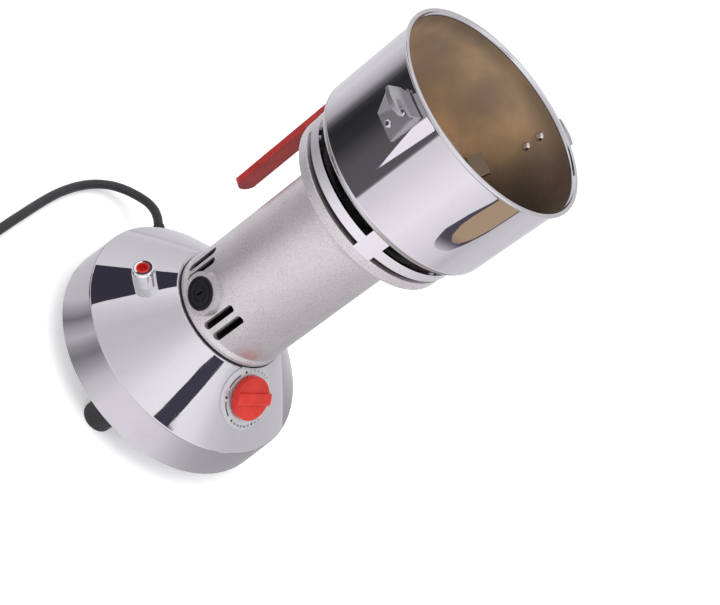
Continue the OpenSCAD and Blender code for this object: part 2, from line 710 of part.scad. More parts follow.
// Point i of n along the shelf's front edge, moved back by d, from the deep side to the shallow one
function shelf_point(i, d, n = 10) = let (a = asin(keeper_w/2/shelf_bow))
    [0, shelf_bow - keeper_d] + polar(shelf_bow - d, 270 - a + 2*a*i/n);
function shelf_edge(d) = [for (i = [0:10]) shelf_point(i, d)];
module keeper() {
    h = keeper_w/2;
    mid = plate_low + 16.3;
    strip = keeper_plate + 9.4;
    difference() {
        union() {
            translate([-h, -keeper_plate, plate_low]) cube([keeper_w, keeper_t + 3, keeper_h]);
            // shelf, its inner corner cut away on the deep side
            translate([0, 0, keeper_top - keeper_t]) linear_extrude(keeper_t) polygon(concat(
                [[h, -keeper_back + 2], [-h + 3.2, -keeper_back + 2], [-h + 3.2, -keeper_plate - 1.8],
                    [-h, -keeper_plate - 7]], shelf_edge(0)));
            // lip under the front edge, highest in the middle
            intersection() {
                translate([0, 0, keeper_top - lip_mid]) linear_extrude(lip_mid)
                    polygon(concat(shelf_edge(0), reversed(shelf_edge(keeper_t))));
                translate([0, -60, keeper_top]) rotate([90, 0, 0]) linear_extrude(60)
                    polygon([[-h - 1, 1], [-h - 1, -lip_end], [-h/2, -lip_mid + 0.3], [0, -lip_mid],
                        [h/2, -lip_mid + 0.3], [h + 1, -lip_end], [h + 1, 1]]);
            }
            // deep side
            translate([-h, 0, 0]) rotate([90, 0, 90]) linear_extrude(keeper_t) polygon([
                [-keeper_back, plate_low], [-keeper_plate, plate_low], [-keeper_plate - deep_side, mid],
                [-keeper_d + 3.4, keeper_top - lip_end], [-keeper_d + 3.4, keeper_top - keeper_t],
                [-keeper_plate - 7, keeper_top - keeper_t/2], [-keeper_plate, keeper_top - 6],
                [-keeper_back, keeper_top - 6]]);
            // shallow side
            translate([h - keeper_t, 0, 0]) rotate([90, 0, 90]) linear_extrude(keeper_t) polygon([
                [-keeper_back, plate_low + 2], [-keeper_plate, plate_low + 2],
                [-keeper_plate - shallow_side, keeper_top - 4],
                [-keeper_plate - shallow_side, keeper_top - keeper_t/2],
                [-keeper_back, keeper_top - keeper_t/2]]);
        }
        // gap behind the hook bar, open towards the shallow side
        translate([0, 0, keeper_top - 2*keeper_t]) linear_extrude(3*keeper_t) polygon(concat(
            [for (i = [4:10]) shelf_point(i, bar_in - (bar_in - bar_out)*(i - 4)/6)],
            [[h + 2, -keeper_d + bar_out + 2], [h + 2, -strip], [-1, -strip - 4]]));
        // the bowl's wall and flare
        rotate_extrude($fn = 128) polygon([[0, 0], [keeper_back, 0], [keeper_back, flare_z - 1.5],
            [keeper_back + flare, lip_z - 0.5], [keeper_back + flare, far], [0, far]]);
        for (z = [-1, 1]) radial(bowl_r - 5, bowl_r + 9, rivet_r + fit, rivet_mid + z*rivet_gap/2);
    }
}
module latch_keepers() { color([0.72, 0.72, 0.74]) for (i = [0, 1]) turn(keeper_turn + 180*i) keeper(); }
module keeper_rivets() {
    inside = bowl_r - bowl_t;
    color([0.85, 0.85, 0.86]) for (i = [0, 1]) turn(keeper_turn + 180*i)
        for (z = [-1, 1]) translate([0, 0, rivet_mid + z*rivet_gap/2]) {
            radial(inside, keeper_plate, rivet_r, 0);
            radial(keeper_plate, keeper_plate + 0.7, rivet_head_r, 0, rivet_head_r - 0.4);
            radial(keeper_plate + 0.7, keeper_plate + 1.2, rivet_head_r - 0.4, 0, rivet_head_r - 1.3);
            radial(inside - 1.3, inside - 0.1, 1.8, 0, 3.4);
            radial(inside - 1.3, inside, rivet_r - 0.3, 0);
        }
}

// Handle

module handle() {
    out = handle_in + handle_t;
    color([0.72, 0.07, 0.06]) difference() {
        intersection() {
            translate([0, handle_in + handle_t/2, handle_low]) linear_extrude(handle_l)
                round_rect(handle_w, handle_t, 1.2);
            translate([0, out + 1, handle_low]) rotate([90, 0, 0]) linear_extrude(handle_t + 2) {
                translate([0, handle_w/2]) circle(r = handle_w/2);
                translate([-handle_w/2, handle_w/2]) square([handle_w, handle_l - handle_w/2]);
            }
        }
        for (z = handle_screw_z) turn(180) {
            radial(handle_in - 1, handle_in + 9, bolt_r + 0.2, z);
            radial(out - handle_recess, out + 1, 5.2, z);
        }
    }
}
module handle_screws() {
    color([0.6, 0.6, 0.62]) for (z = handle_screw_z) turn(180)
        translate([0, -handle_in - handle_t + handle_recess, z]) rotate([90, 0, 0]) difference() {
            union() {
                translate([0, 0, -13]) cylinder(h = 13, r = house_screw_r);
                cylinder(h = handle_recess - 0.2, r = 4.8);
            }
            translate([0, 0, 0.9]) cylinder(h = 4, r = 1.7, $fn = 6);
        }
}

// Timer

module dial_pad() {
    hole = 8.4;          // round the nut
    color([0.8, 0.81, 0.82]) difference() {
        intersection() {
            at_knob() pin(dial_r, -5);
            base_form(dial_h);
        }
        base_form(fit);
        cylinder(h = far, r = max(house_foot_r, gasket_r) + gap);
        at_knob() pin(hole, -6, 12);
    }
}
module timer_mechanism() {
    body = 36;
    tab = [3, 1, 6];
    tab_x = 10;
    color([0.75, 0.73, 0.65]) at_knob() difference() {
        union() {
            translate([-body/2, -body/2, -timer_drop - timer_deep]) cube([body, body, timer_deep]);
            pin(bush_r, -timer_drop, timer_drop + 3);
            for (x = [-tab_x, tab_x]) translate([x - tab.x/2, -body/2 + 3, -timer_drop - timer_deep - tab.z])
                cube(tab + [0, 0, 1]);
        }
        pin(spindle_r + fit, -timer_drop - spindle_in - 0.1, 40);
    }
}
module timer_nut() {
    color([0.75, 0.75, 0.77]) at_knob() difference() {
        cylinder(h = nut_low, r = 7, $fn = 6);
        pin(bush_r + fit, -1);
    }
}
module timer_spindle() {
    low = -timer_drop - spindle_in;
    color([0.75, 0.75, 0.77]) at_knob() pin(spindle_r, low, knob_h - 1.7 - low);
}
module timer_knob() {
    low = dial_h + 0.6;
    half = knob_bar_w/2;
    recess_r = 8.6;
    // one side of the bar's section, with its upper corner rounded
    side = rounding([half + 1.5, low], [half - 0.6, knob_bar_h], [0, knob_bar_h + 0.5], 2, 4);
    color([0.82, 0.12, 0.1]) at_knob() difference() {
        union() {
            turned(concat([[0, low], [knob_r, low]],
                rounding([knob_r, low], [knob_r - 0.5, knob_h], [0, knob_h], edge, 4), [[0, knob_h]]));
            intersection() {
                turned(concat([[0, low], [knob_r, low]],
                    rounding([knob_r, low], [knob_r - 0.6, knob_bar_h], [0, knob_bar_h + 0.6], 1.6, 4),
                    [[0, knob_bar_h + 0.6]]));
                rotate([90, 0, 90]) translate([0, 0, -knob_r]) linear_extrude(2*knob_r)
                    polygon(concat([[-half - 1.5, low], [half + 1.5, low]], side,
                        reversed([for (p = side) [-p.x, p.y]])));
            }
        }
        pin(recess_r, low - 1, nut_low + 1);
        pin(spindle_r + fit, low - 1, knob_h - 0.6 - low);
    }
}

// Reset button

module button_sleeve() {
    color([0.88, 0.88, 0.9]) difference() {
        at_button() turned(concat([[sleeve_bore, -3], [sleeve_r, -3]],
            rounding([sleeve_r, -3], [sleeve_r, sleeve_h], [sleeve_bore, sleeve_h - 0.4], 2, 6),
            [[sleeve_bore, sleeve_h - 0.4]]));
        base_form(fit);
    }
    color([0.88, 0.88, 0.9]) at_button() difference() {
        pin(tail_r, -12, 16);
        pin(stem_r + 0.1, -13, 20);
    }
}
module sleeve_nut() {
    color([0.75, 0.75, 0.77]) at_button() difference() {
        translate([0, 0, -5.1]) cylinder(h = 3.2, r = 10, $fn = 6);
        pin(tail_r + fit, -7);
    }
}
module overload_switch() {
    tab = [2, 0.8, 6];
    color([0.12, 0.12, 0.13]) at_button() difference() {
        union() {
            pin(9.5, -34, 22);
            for (x = [-5, 5]) translate([x - tab.x/2, -1, -34 - tab.z]) cube(tab + [0, 0, 1]);
        }
        pin(stem_r + 0.1, -18);
    }
}
module reset_button() {
    low = 5.2 + button_travel;
    top = sleeve_h + 0.4;
    deep = 4;
    color([0.75, 0.1, 0.06]) at_button() turned(concat(
        [[0, -13], [stem_r, -13], [stem_r, low], [button_r, low]],
        rounding([button_r, low], [button_r, top], [hollow_r, top], 0.6, 4),
        [[hollow_r + 0.3, top], [hollow_r, top - 0.4], [hollow_r - 0.3, top - deep], [0, top - deep]]));
}

// Pieces inside the base

module terminal_block() {
    color([0.9, 0.9, 0.86]) turn(cord_turn) difference() {
        translate([-18, -terminal_r - 8, plate_z + bottom_t]) cube([36, 16, 14]);
        for (i = [-1:1]) translate([11*i, -terminal_r, plate_z + bottom_t + 6]) cylinder(h = 9, r = 2.6);
    }
}
module cord_clamp() {
    low = plate_z + bottom_t;
    color([0.15, 0.15, 0.16]) turn(cord_turn) difference() {
        translate([-12, -clamp_r - 4, low]) cube([24, 8, relief_z + 7 - low]);
        radial(clamp_r - 9, clamp_r + 9, cord_d/2 + fit, relief_z);
        for (x = [-1, 1]) translate([x*8.5, -clamp_r, low + 4]) cylinder(h = 20, r = 1.6);
    }
}
module inner_lead() {
    color([0.06, 0.06, 0.07]) turn(cord_turn) radial(terminal_r + 8, base_r - 0.5, cord_d/2, relief_z);
}

// Seal where the shaft enters the bowl

module shaft_seal() { color([0.1, 0.1, 0.1]) ring(seal_bore, shaft_r + fit, 4, floor_z); }
module seal_cap() {
    color([0.8, 0.8, 0.82]) difference() {
        turned(concat([[shaft_r + 0.4, floor_z], [seal_r, floor_z]],
            rounding([seal_r, floor_z], [seal_r - 0.5, floor_z + seal_h], [shaft_r, floor_z + seal_h], 1.5, 4),
            [[shaft_r + 0.4, floor_z + seal_h]]));
        pin(seal_bore + fit, floor_z - 1, 5 + fit);
        three(seal_screw_ring) pin(seal_screw_r + fit, floor_z - 1, 4);
    }
}
module seal_screws() {
    color([0.6, 0.6, 0.62]) three(seal_screw_ring) translate([0, 0, bowl_z]) rotate([180, 0, 0])
        screw(seal_screw_r, floor_t + 2.6, 2.8, 1.6);
}

// Rotor

module motor_shaft() {
    color([0.78, 0.78, 0.8]) union() {
        translate([0, 0, low_bearing_z - 0.6]) cylinder(h = low_race_h + 1.4, r = journal_r);
        translate([0, 0, low_bearing_z + low_race_h + 0.4])
            cylinder(h = shoulder_z - low_bearing_z - low_race_h - 0.4, r = shaft_r);
        translate([0, 0, shoulder_z - 1]) cylinder(h = nut_z + nut_h + 3.6 - shoulder_z, r = stud_r);
    }
}
module inner_ring(r_out, r_in, h, z) {
    difference() {
        ring(r_in + race_t, r_in + fit/2, h, z);
        translate([0, 0, z + h/2]) rotate_extrude() translate([(r_out + r_in)/2, 0])
            circle(r = ball_r(r_out, r_in) + fit, $fn = 32);
    }
}
module bearing_inner_rings() {
    color([0.75, 0.75, 0.77]) {
        inner_ring(low_race, journal_r, low_race_h, low_bearing_z);
        inner_ring(top_race, shaft_r, top_race_h, top_bearing_z);
    }
}
module armature_core() {
    color([0.3, 0.31, 0.33]) difference() {
        ring(armature_r, shaft_r + fit/2, armature_l, core_z);
        for (i = [0:slots - 1]) turn(360*i/slots) {
            translate([0, -slot_ring, core_z - 1]) cylinder(h = armature_l + 2, r = slot_r);
            translate([-1, -armature_r - 1, core_z - 1]) cube([2, 4, armature_l + 2]);
        }
    }
}
module armature_windings() {
    end_r = slot_ring + slot_r;
    color([0.66, 0.33, 0.15]) {
        for (z = [core_z - 9.5, core_top + 0.1]) turned(rounded(
            [[10, z], [end_r, z], [end_r, z + 9.4], [10, z + 9.4], [10, z]], [0, 3, 3, 0, 0]));
        for (i = [0:slots - 1]) turn(360*i/slots)
            translate([0, -slot_ring, core_z - 3]) cylinder(h = armature_l + 6, r = slot_r - 0.1);
    }
}
module commutator() {
    color([0.72, 0.42, 0.2]) difference() {
        ring(commutator_r, shaft_r + fit/2, commutator_l, commutator_z);
        for (i = [0:23]) turn(15*i) translate([-0.3, -commutator_r - 1, commutator_z - 1])
            cube([0.6, 2, commutator_l + 2]);
    }
}
module cooling_fan() {
    color([0.1, 0.1, 0.11]) {
        ring(14, shaft_r + fit/2, fan_h, fan_z);
        ring(fan_r, shaft_r + fit/2, 1.4, fan_z);
        for (i = [0:fan_blades - 1]) turn(360*i/fan_blades)
            translate([-0.7, -fan_r, fan_z]) cube([1.4, fan_r - 13, fan_h]);
    }
}

// Blades

// Outline of a two-armed blade: root and tip half-widths, the tips swept by s
module blade_plan(reach, root, tip, s) {
    for (i = [0, 1]) rotate(180*i) polygon([[0, -root], [reach*0.5, -tip + s/2], [reach, -tip + s],
        [reach, tip + s], [reach*0.5, tip + s/2 + 1], [0, root]]);
    circle(r = root);
}
module lower_blade() {
    color([0.8, 0.8, 0.82]) turn(blade_turn - 25) difference() {
        translate([0, 0, shoulder_z]) linear_extrude(blade_t) blade_plan(low_blade_r, blade_root, 8, -4);
        pin(stud_r + fit/2, shoulder_z - 1);
    }
}
module upper_blade() {
    bend = top_blade_r - tip_run;
    lean = atan2(tip_rise, tip_run);
    inside = bend - blade_t*tan(lean/2);
    tip = [top_blade_r, top_blade_z + tip_rise];
    tip_top = tip + blade_t*[-sin(lean), cos(lean)];
    // side view: flat with both tips bent up
    side = [[bend, top_blade_z], tip, tip_top, [inside, top_blade_z + blade_t]];
    color([0.8, 0.8, 0.82]) turn(blade_turn - 90) difference() {
        intersection() {
            linear_extrude(far) blade_plan(top_blade_r, blade_root, 9, 3);
            translate([0, 60, 0]) rotate([90, 0, 0]) linear_extrude(120)
                polygon(concat(side, reversed([for (p = side) [-p.x, p.y]])));
        }
        pin(stud_r + fit/2, top_blade_z - 1);
    }
}
module blade_spacer() {
    color([0.75, 0.75, 0.77]) ring(11, stud_r + fit/2, spacer_h, shoulder_z + blade_t);
}
module blade_nut() {
    color([0.8, 0.8, 0.82]) difference() {
        union() {
            translate([0, 0, nut_z]) cylinder(h = 1.6, r = 11);
            translate([0, 0, nut_z + 1.6]) cylinder(h = nut_h - 1.6, r = nut_af/sqrt(3), $fn = 6);
        }
        translate([0, 0, nut_z - 1]) cylinder(h = nut_h + 2, r = stud_r + fit/2);
    }
}

// Cord

module strain_relief() {
    body = base_r - 0.2;
    color([0.06, 0.06, 0.07]) difference() {
        union() {
            // flanges on both sides of the skirt, the inner one flat where it clears the ledge
            difference() {
                turn(cord_turn) radial(body - 5, body + 3, relief_base_r + 1.6, relief_z);
                skirt_wall();
                translate([0, 0, foot_h - 1]) cylinder(h = bottom_t + ledge_t + gap + 1, r = base_r - base_t);
            }
            turn(cord_turn) {
                radial(body - 6, body + 1, relief_neck_r, relief_z);
                radial(body + 2, relief_end, relief_base_r, relief_z, relief_tip_r);
            }
        }
        turn(cord_turn) radial(body - 9, base_r - 0.4, cord_d/2 + fit, relief_z);
    }
}
// The skirt's wall, with room for the strain relief's flanges to sit against it
module skirt_wall() {
    rotate_extrude($fn = 256) polygon([[base_r - base_t - 0.15, foot_h - 1], [base_r + 0.05, foot_h - 1],
        [skirt_top_r + 0.05, skirt_z], [skirt_top_r - base_t - 0.15, skirt_z]]);
}
// A smooth curve through points p, k steps from each point to the next
function blend(a, b, c, d, t) =
    (2*b + (c - a)*t + (2*a - 5*b + 4*c - d)*t*t + (3*b - a - 3*c + d)*t*t*t)/2;
function smooth(p, k) = concat([for (i = [0:len(p) - 2]) for (j = [0:k - 1])
    blend(p[max(i - 1, 0)], p[i], p[i + 1], p[min(i + 2, len(p) - 1)], j/k)], [p[len(p) - 1]]);
function on_coil(a, z) = [coil_at.x + (coil_out - lie)*cos(a), coil_at.y + (coil_out - lie)*sin(a), z];
coil_touch = on_coil(coil_entry, coil_lift + lie);
run_in = [sin(coil_entry), -cos(coil_entry), 0];
run_out = [sin(coil_leave), -cos(coil_leave), 0];
tail_start = on_coil(coil_leave, coil_lift + coil_h - lie);
tail_end = [tail_start.x + tail_l*run_out.x, tail_start.y + tail_l*run_out.y, plug_t/2];
module cord() {
    straight = [for (d = [0, 4, 8]) cord_start + (d + fit)*cord_heading];
    path = concat(straight, route, [coil_touch - coil_clear*run_in]);
    color([0.06, 0.06, 0.07]) tube(smooth(path, 2), cord_d/2, 10);
}
module cord_coil() {
    color([0.06, 0.06, 0.07]) translate([coil_at.x, coil_at.y, coil_lift])
        rotate_extrude() translate([coil_in, 0]) square([coil_out - coil_in, coil_h]);
}
module cord_tie() {
    t = 1.1;
    color([0.05, 0.05, 0.05]) translate([coil_at.x, coil_at.y, 0]) rotate([0, 0, 100]) difference() {
        translate([coil_in - t, -4, 0]) cube([coil_out - coil_in + 2*t, 8, coil_h + 2*t + 0.1]);
        rotate_extrude() translate([coil_in - 0.02, t]) square([coil_out - coil_in + 0.04, coil_h + 0.12]);
    }
}
module cord_tail() {
    a = tail_start + coil_clear*run_out;
    b = tail_end - fit*run_out;
    level = b - 10*run_out;
    color([0.06, 0.06, 0.07]) tube(smooth([a, (a + level)/2, level, b - 5*run_out, b], 2), cord_d/2, 10);
}
plug_heading = atan2(run_out.y, run_out.x);
module at_plug() { translate([tail_end.x, tail_end.y, plug_t/2]) rotate([0, 0, plug_heading]) children(); }
module plug_body() {
    corner = 5;
    color([0.06, 0.06, 0.07]) at_plug() {
        translate([fit, 0, 0]) rotate([0, 90, 0]) cylinder(h = 14, r1 = cord_d/2 + 1, r2 = 7);
        hull() {
            translate([13, 0, 0]) rotate([0, 90, 0]) cylinder(h = 1, r = 7.5, $fn = 24);
            for (y = [-1, 1]) for (z = [-1, 1]) for (x = [22, 14 + plug_l - 4])
                translate([x, y*(plug_w/2 - corner), z*(plug_t/2 - corner)])
                    rotate([0, 90, 0]) cylinder(h = 4, r = corner, $fn = 24);
        }
    }
}
module plug_pins() {
    face = 14 + plug_l;
    color([0.8, 0.75, 0.6]) at_plug() {
        for (y = [-1, 1]) translate([face, y*6.4 - 0.75, -1.5]) cube([16, 1.5, 6.3]);
        translate([face, 0, -5.5]) rotate([0, 90, 0]) cylinder(h = 20, r = 2.4);
    }
}

base_shell();
bottom_plate();
bottom_plate_screws();
rubber_feet();
foot_screws();
housing_gasket();
motor_housing();
housing_screws();
vent_ring();
bowl();
bowl_screws();
latch_keepers();
keeper_rivets();
handle();
handle_screws();
bearing_bracket();
bracket_screws();
upper_bearing();
lower_bearing();
stator_core();
field_coils();
brush_holders();
carbon_brushes();
brush_springs();
brush_caps();
dial_pad();
timer_mechanism();
timer_nut();
button_sleeve();
sleeve_nut();
overload_switch();
terminal_block();
cord_clamp();
inner_lead();
shaft_seal();
seal_cap();
seal_screws();
strain_relief();
cord();
cord_coil();
cord_tie();
cord_tail();
plug_body();
plug_pins();
motor_shaft();
bearing_inner_rings();
armature_core();
armature_windings();
commutator();
cooling_fan();
lower_blade();
upper_blade();
blade_spacer();
blade_nut();
timer_knob();
timer_spindle();
reset_button();
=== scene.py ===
# %% [markdown]
# # A kitchen grinder in a white studio
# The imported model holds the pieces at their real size. This lesson gives them their finish, lays out the
# mains cord, and sets up the camera and the lights. Everything is in metres, with the feet on z = 0, the
# column on the Z axis and the timer knob facing -Y.

# %% Load the frame
import json
import math
import bpy
import numpy as np
from mathutils import Matrix, Vector

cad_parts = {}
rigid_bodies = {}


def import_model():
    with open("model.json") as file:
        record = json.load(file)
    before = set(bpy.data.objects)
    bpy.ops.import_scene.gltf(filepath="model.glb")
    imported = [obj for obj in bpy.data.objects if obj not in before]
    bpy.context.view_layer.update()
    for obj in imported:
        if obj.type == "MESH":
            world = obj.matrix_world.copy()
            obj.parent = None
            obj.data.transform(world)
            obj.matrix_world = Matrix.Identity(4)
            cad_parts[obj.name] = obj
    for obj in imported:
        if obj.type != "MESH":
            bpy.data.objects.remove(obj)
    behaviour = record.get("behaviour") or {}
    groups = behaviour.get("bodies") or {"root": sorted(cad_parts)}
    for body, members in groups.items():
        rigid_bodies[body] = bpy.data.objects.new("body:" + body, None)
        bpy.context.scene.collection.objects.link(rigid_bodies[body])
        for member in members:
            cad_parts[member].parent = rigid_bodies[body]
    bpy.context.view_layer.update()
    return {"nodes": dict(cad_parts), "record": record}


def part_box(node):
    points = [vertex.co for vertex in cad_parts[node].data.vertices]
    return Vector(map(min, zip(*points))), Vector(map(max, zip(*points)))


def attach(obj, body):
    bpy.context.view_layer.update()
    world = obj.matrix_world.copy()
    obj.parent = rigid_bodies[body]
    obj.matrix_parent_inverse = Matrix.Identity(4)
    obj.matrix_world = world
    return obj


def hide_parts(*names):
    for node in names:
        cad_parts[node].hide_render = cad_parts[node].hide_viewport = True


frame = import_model()
MM = 0.001

# %% [markdown]
# ## The camera
# The machine lies across the picture because the camera itself is rolled. Its place was worked out from
# the outlines of the rim, bowl, housing and base, which are all circles about one axis. The camera is
# described by its turn about the machine, how far back and how high it stands, and its pitch, yaw and roll.

# %% Camera
CAMERA_TURN = math.radians(-60)
CAMERA_BACK = 0.9137
CAMERA_HEIGHT = 0.7972
CAMERA_PITCH = math.radians(33.47)
CAMERA_YAW = math.radians(2.71)
CAMERA_ROLL = math.radians(52.89)
LENS = 75.2
SENSOR = 36


def camera_matrix():
    """The view is tilted down, swung sideways by the yaw, rolled about itself and turned about Z."""
    ahead = Vector((0, math.cos(CAMERA_PITCH), -math.sin(CAMERA_PITCH)))
    side = Vector((1, 0, 0))
    upward = Vector((0, math.sin(CAMERA_PITCH), math.cos(CAMERA_PITCH)))
    view = math.cos(CAMERA_YAW) * ahead + math.sin(CAMERA_YAW) * side
    right = math.cos(CAMERA_YAW) * side - math.sin(CAMERA_YAW) * ahead
    rolled_right = math.cos(CAMERA_ROLL) * right + math.sin(CAMERA_ROLL) * upward
    rolled_up = -math.sin(CAMERA_ROLL) * right + math.cos(CAMERA_ROLL) * upward
    place = Vector((0, -CAMERA_BACK, CAMERA_HEIGHT))
    rows = Matrix((rolled_right, rolled_up, -view)).transposed().to_4x4()
    return Matrix.Rotation(CAMERA_TURN, 4, "Z") @ Matrix.Translation(place) @ rows


camera_data = bpy.data.cameras.new("camera")
camera_data.lens = LENS
camera_data.sensor_width = SENSOR
camera = bpy.data.objects.new("camera", camera_data)
bpy.context.collection.objects.link(camera)
camera.matrix_world = camera_matrix()
bpy.context.scene.camera = camera
print("camera at", [round(v, 3) for v in camera.matrix_world.translation])

# %% [markdown]
# ## The mains cord
# A mains cord is one round rubber sheath of a fixed length. It leaves the strain relief level, sinks to the
# floor within a hand's width and runs out of the picture. What isn't seen is wound into a coil of six
# turns, two side by side and three high, which a strip of plastic holds together. A curve object with a
# bevel would draw it too, but a tube swept in numpy has its own measure of length along it, which the
# material can use, and it is a plain mesh from the start.

# %% Cord values
CORD = 7.8 * MM
LIE = CORD / 2
CORD_SIDES = 14
CORD_STEPS = 3
BASE_R = 101.5 * MM
CORD_TURN = math.radians(169.5)
RELIEF_L = 20 * MM
RELIEF_Z = 27.5 * MM
RELIEF_SINK = 0.2 * MM
FIT = 0.05 * MM
EXIT_R = BASE_R - RELIEF_SINK + RELIEF_L
COIL_AT = (-196 * MM, 116 * MM)
COIL_MID = 40 * MM
COIL_LIFT = 1.2 * MM
COIL_TURNS = 6.25
TURN_STEPS = 24
COIL_ENTRY = math.radians(-60)
COIL_LEAVE = math.radians(-150)
COIL_CLEAR = 27 * MM
TAIL_L = 62 * MM
PLUG_T = 21 * MM
PLUG_NECK = 10 * MM
ROUTE = [(24.2, 135.2, 26.2), (23.4, 143.8, 23.1), (20.7, 151, 19.4), (16.5, 157, 16), (11, 162, 13),
         (3.5, 165.8, 10.2), (-4.5, 167.6, 7.9), (-13, 167.8, 6.1), (-21.2, 166.6, 4.9), (-29.5, 164.3, 4.2),
         (-37.5, 161.4, 3.9), (-52.7, 154.3, 3.9), (-67, 146.1, 3.9), (-81, 137.2, 3.9), (-95, 127.9, 3.9),
         (-109, 118.6, 3.9), (-122.5, 109.3, 4), (-136.5, 100.2, 4.4)]


# %% Cord route
def level_heading(turn):
    """The level unit vector that points away from the column at an angle from the knob's side."""
    return np.array([math.sin(turn), -math.cos(turn), 0])


def coil_points():
    """Turns about the coil's centre, whose angle runs evenly.

    The radius steps between two rings, and the height rises by one cord after each pair of turns. Each stop
    is a count of turns with the radius and the layer that the cord has there.
    """
    outer, inner, low = COIL_MID + LIE, COIL_MID - LIE, COIL_LIFT + LIE
    stops = [(0, outer, 0), (0.9, outer, 0), (1.1, inner, 0), (1.9, inner, 0), (2.1, inner, 1),
             (2.9, inner, 1), (3.1, outer, 1), (3.9, outer, 1), (4.1, outer, 2), (4.9, outer, 2),
             (5.1, inner, 2), (6.05, inner, 2), (COIL_TURNS, outer, 2)]
    at, wide, layer = (np.array(v) for v in zip(*stops))
    turns = np.arange(COIL_TURNS * TURN_STEPS + 1) / TURN_STEPS
    swing = COIL_ENTRY - turns * 2 * math.pi
    radius = np.interp(turns, at, wide)
    rise = low + CORD * np.interp(turns, at, layer)
    return np.stack([COIL_AT[0] + radius * np.cos(swing), COIL_AT[1] + radius * np.sin(swing), rise], 1)


def cord_route():
    """The straight start, the chosen points, the straight run onto the coil, its turns and the tail."""
    out = level_heading(CORD_TURN)
    start = out * EXIT_R + (0, 0, RELIEF_Z)
    coil = coil_points()
    run_in, run_out = level_heading(COIL_ENTRY), level_heading(COIL_LEAVE)
    leave = coil[-1] + run_out * COIL_CLEAR
    end = coil[-1] + run_out * TAIL_L
    end[2] = PLUG_T / 2
    level = end - PLUG_NECK * run_out
    parts = [[start + out * (d * MM + FIT) for d in (0, 4, 8)], np.array(ROUTE) * MM,
             [coil[0] - run_in * COIL_CLEAR], coil, [leave, (leave + level) / 2, level, end]]
    return np.concatenate([np.asarray(part) for part in parts])


def smoothed(points, steps):
    """A curve through every point, in cubics whose ends follow the chords of their neighbours."""
    ends = np.concatenate([[2 * points[0] - points[1]], points, [2 * points[-1] - points[-2]]])
    a, b, c, d = (ends[k:len(ends) - 3 + k, None] for k in range(4))
    t = (np.arange(steps) / steps)[None, :, None]
    curve = b + t * (c - a) / 2 + t**2 * (a - 2.5 * b + 2 * c - d / 2) + t**3 * (1.5 * (b - c) + (d - a) / 2)
    return np.concatenate([curve.reshape(-1, 3), points[-1:]])


def lengths_along(points):
    """How far along the line each point lies."""
    return np.concatenate([[0], np.cumsum(np.linalg.norm(np.diff(points, axis=0), axis=1))])


cord_line = smoothed(cord_route(), CORD_STEPS)
CORD_LENGTH = float(lengths_along(cord_line)[-1])
print("cord", round(CORD_LENGTH, 3), "m in", len(cord_line), "points")


# %% Mesh helpers
def new_object(name, vertices, faces, smooth=True):
    """A mesh object at the origin from whole arrays of points and faces."""
    mesh = bpy.data.meshes.new(name)
    mesh.from_pydata(np.asarray(vertices).tolist(), [], [list(face) for face in faces])
    mesh.polygons.foreach_set("use_smooth", [smooth] * len(mesh.polygons))
    mesh.update()
    piece = bpy.data.objects.new(name, mesh)
    bpy.context.collection.objects.link(piece)
    return piece


def grid_faces(rows, columns, closed=False):
    """Four-sided faces between the neighbours of a grid, whose last column may meet its first."""
    across = np.arange(columns if closed else columns - 1)
    row, column = np.meshgrid(np.arange(rows - 1), across, indexing="ij")
    beside = (column + 1) % columns
    corners = [row * columns + column, row * columns + beside, (row + 1) * columns + beside,
               (row + 1) * columns + column]
    return np.stack(corners, -1).reshape(-1, 4)


def swept_tube(name, line, radius, sides):
    """A circle carried along a line: centre + radius * (cosine * side + sine * up).

    The side is level and square to the line, and up is square to both, so the tube never twists.
    """
    ahead = np.gradient(line, axis=0)
    ahead /= np.linalg.norm(ahead, axis=1)[:, None]
    side = np.cross(ahead, (0, 0, 1))
    side /= np.linalg.norm(side, axis=1)[:, None]
    upward = np.cross(side, ahead)
    angle = np.arange(sides) * 2 * math.pi / sides
    ring = np.cos(angle)[None, :, None] * side[:, None] + np.sin(angle)[None, :, None] * upward[:, None]
    points = (line[:, None] + radius * ring).reshape(-1, 3)
    last = len(points) - sides
    caps = [tuple(range(sides)), tuple(range(last + sides - 1, last - 1, -1))]
    return new_object(name, points, [tuple(f[::-1]) for f in grid_faces(len(line), sides, True)] + caps)


# %% Make the cord
mains_cord = swept_tube("mains_cord", cord_line, CORD / 2, CORD_SIDES)
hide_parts("cord", "cord_coil", "cord_tail")
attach(mains_cord, "base")

# %% [markdown]
# ## Shader expressions
# A finish is easier to read as a formula than as a picture of linked nodes. `Wire` wraps one output socket,
# and its operators add the Math nodes, so `0.2 + 0.1 * grain` builds the nodes that it says. `Finish` makes
# one material and holds the only call that adds any other kind of node.

# %% Wires and finishes
class Wire:
    """One output of a shader node, with arithmetic that adds Math nodes to the same material."""

    def __init__(self, finish, output):
        self.finish, self.output = finish, output

    def __add__(self, other):
        return self.finish.math("ADD", self, other)

    def __sub__(self, other):
        return self.finish.math("SUBTRACT", self, other)

    def __rsub__(self, other):
        return self.finish.math("SUBTRACT", other, self)

    def __mul__(self, other):
        return self.finish.math("MULTIPLY", self, other)

    __radd__ = __add__
    __rmul__ = __mul__


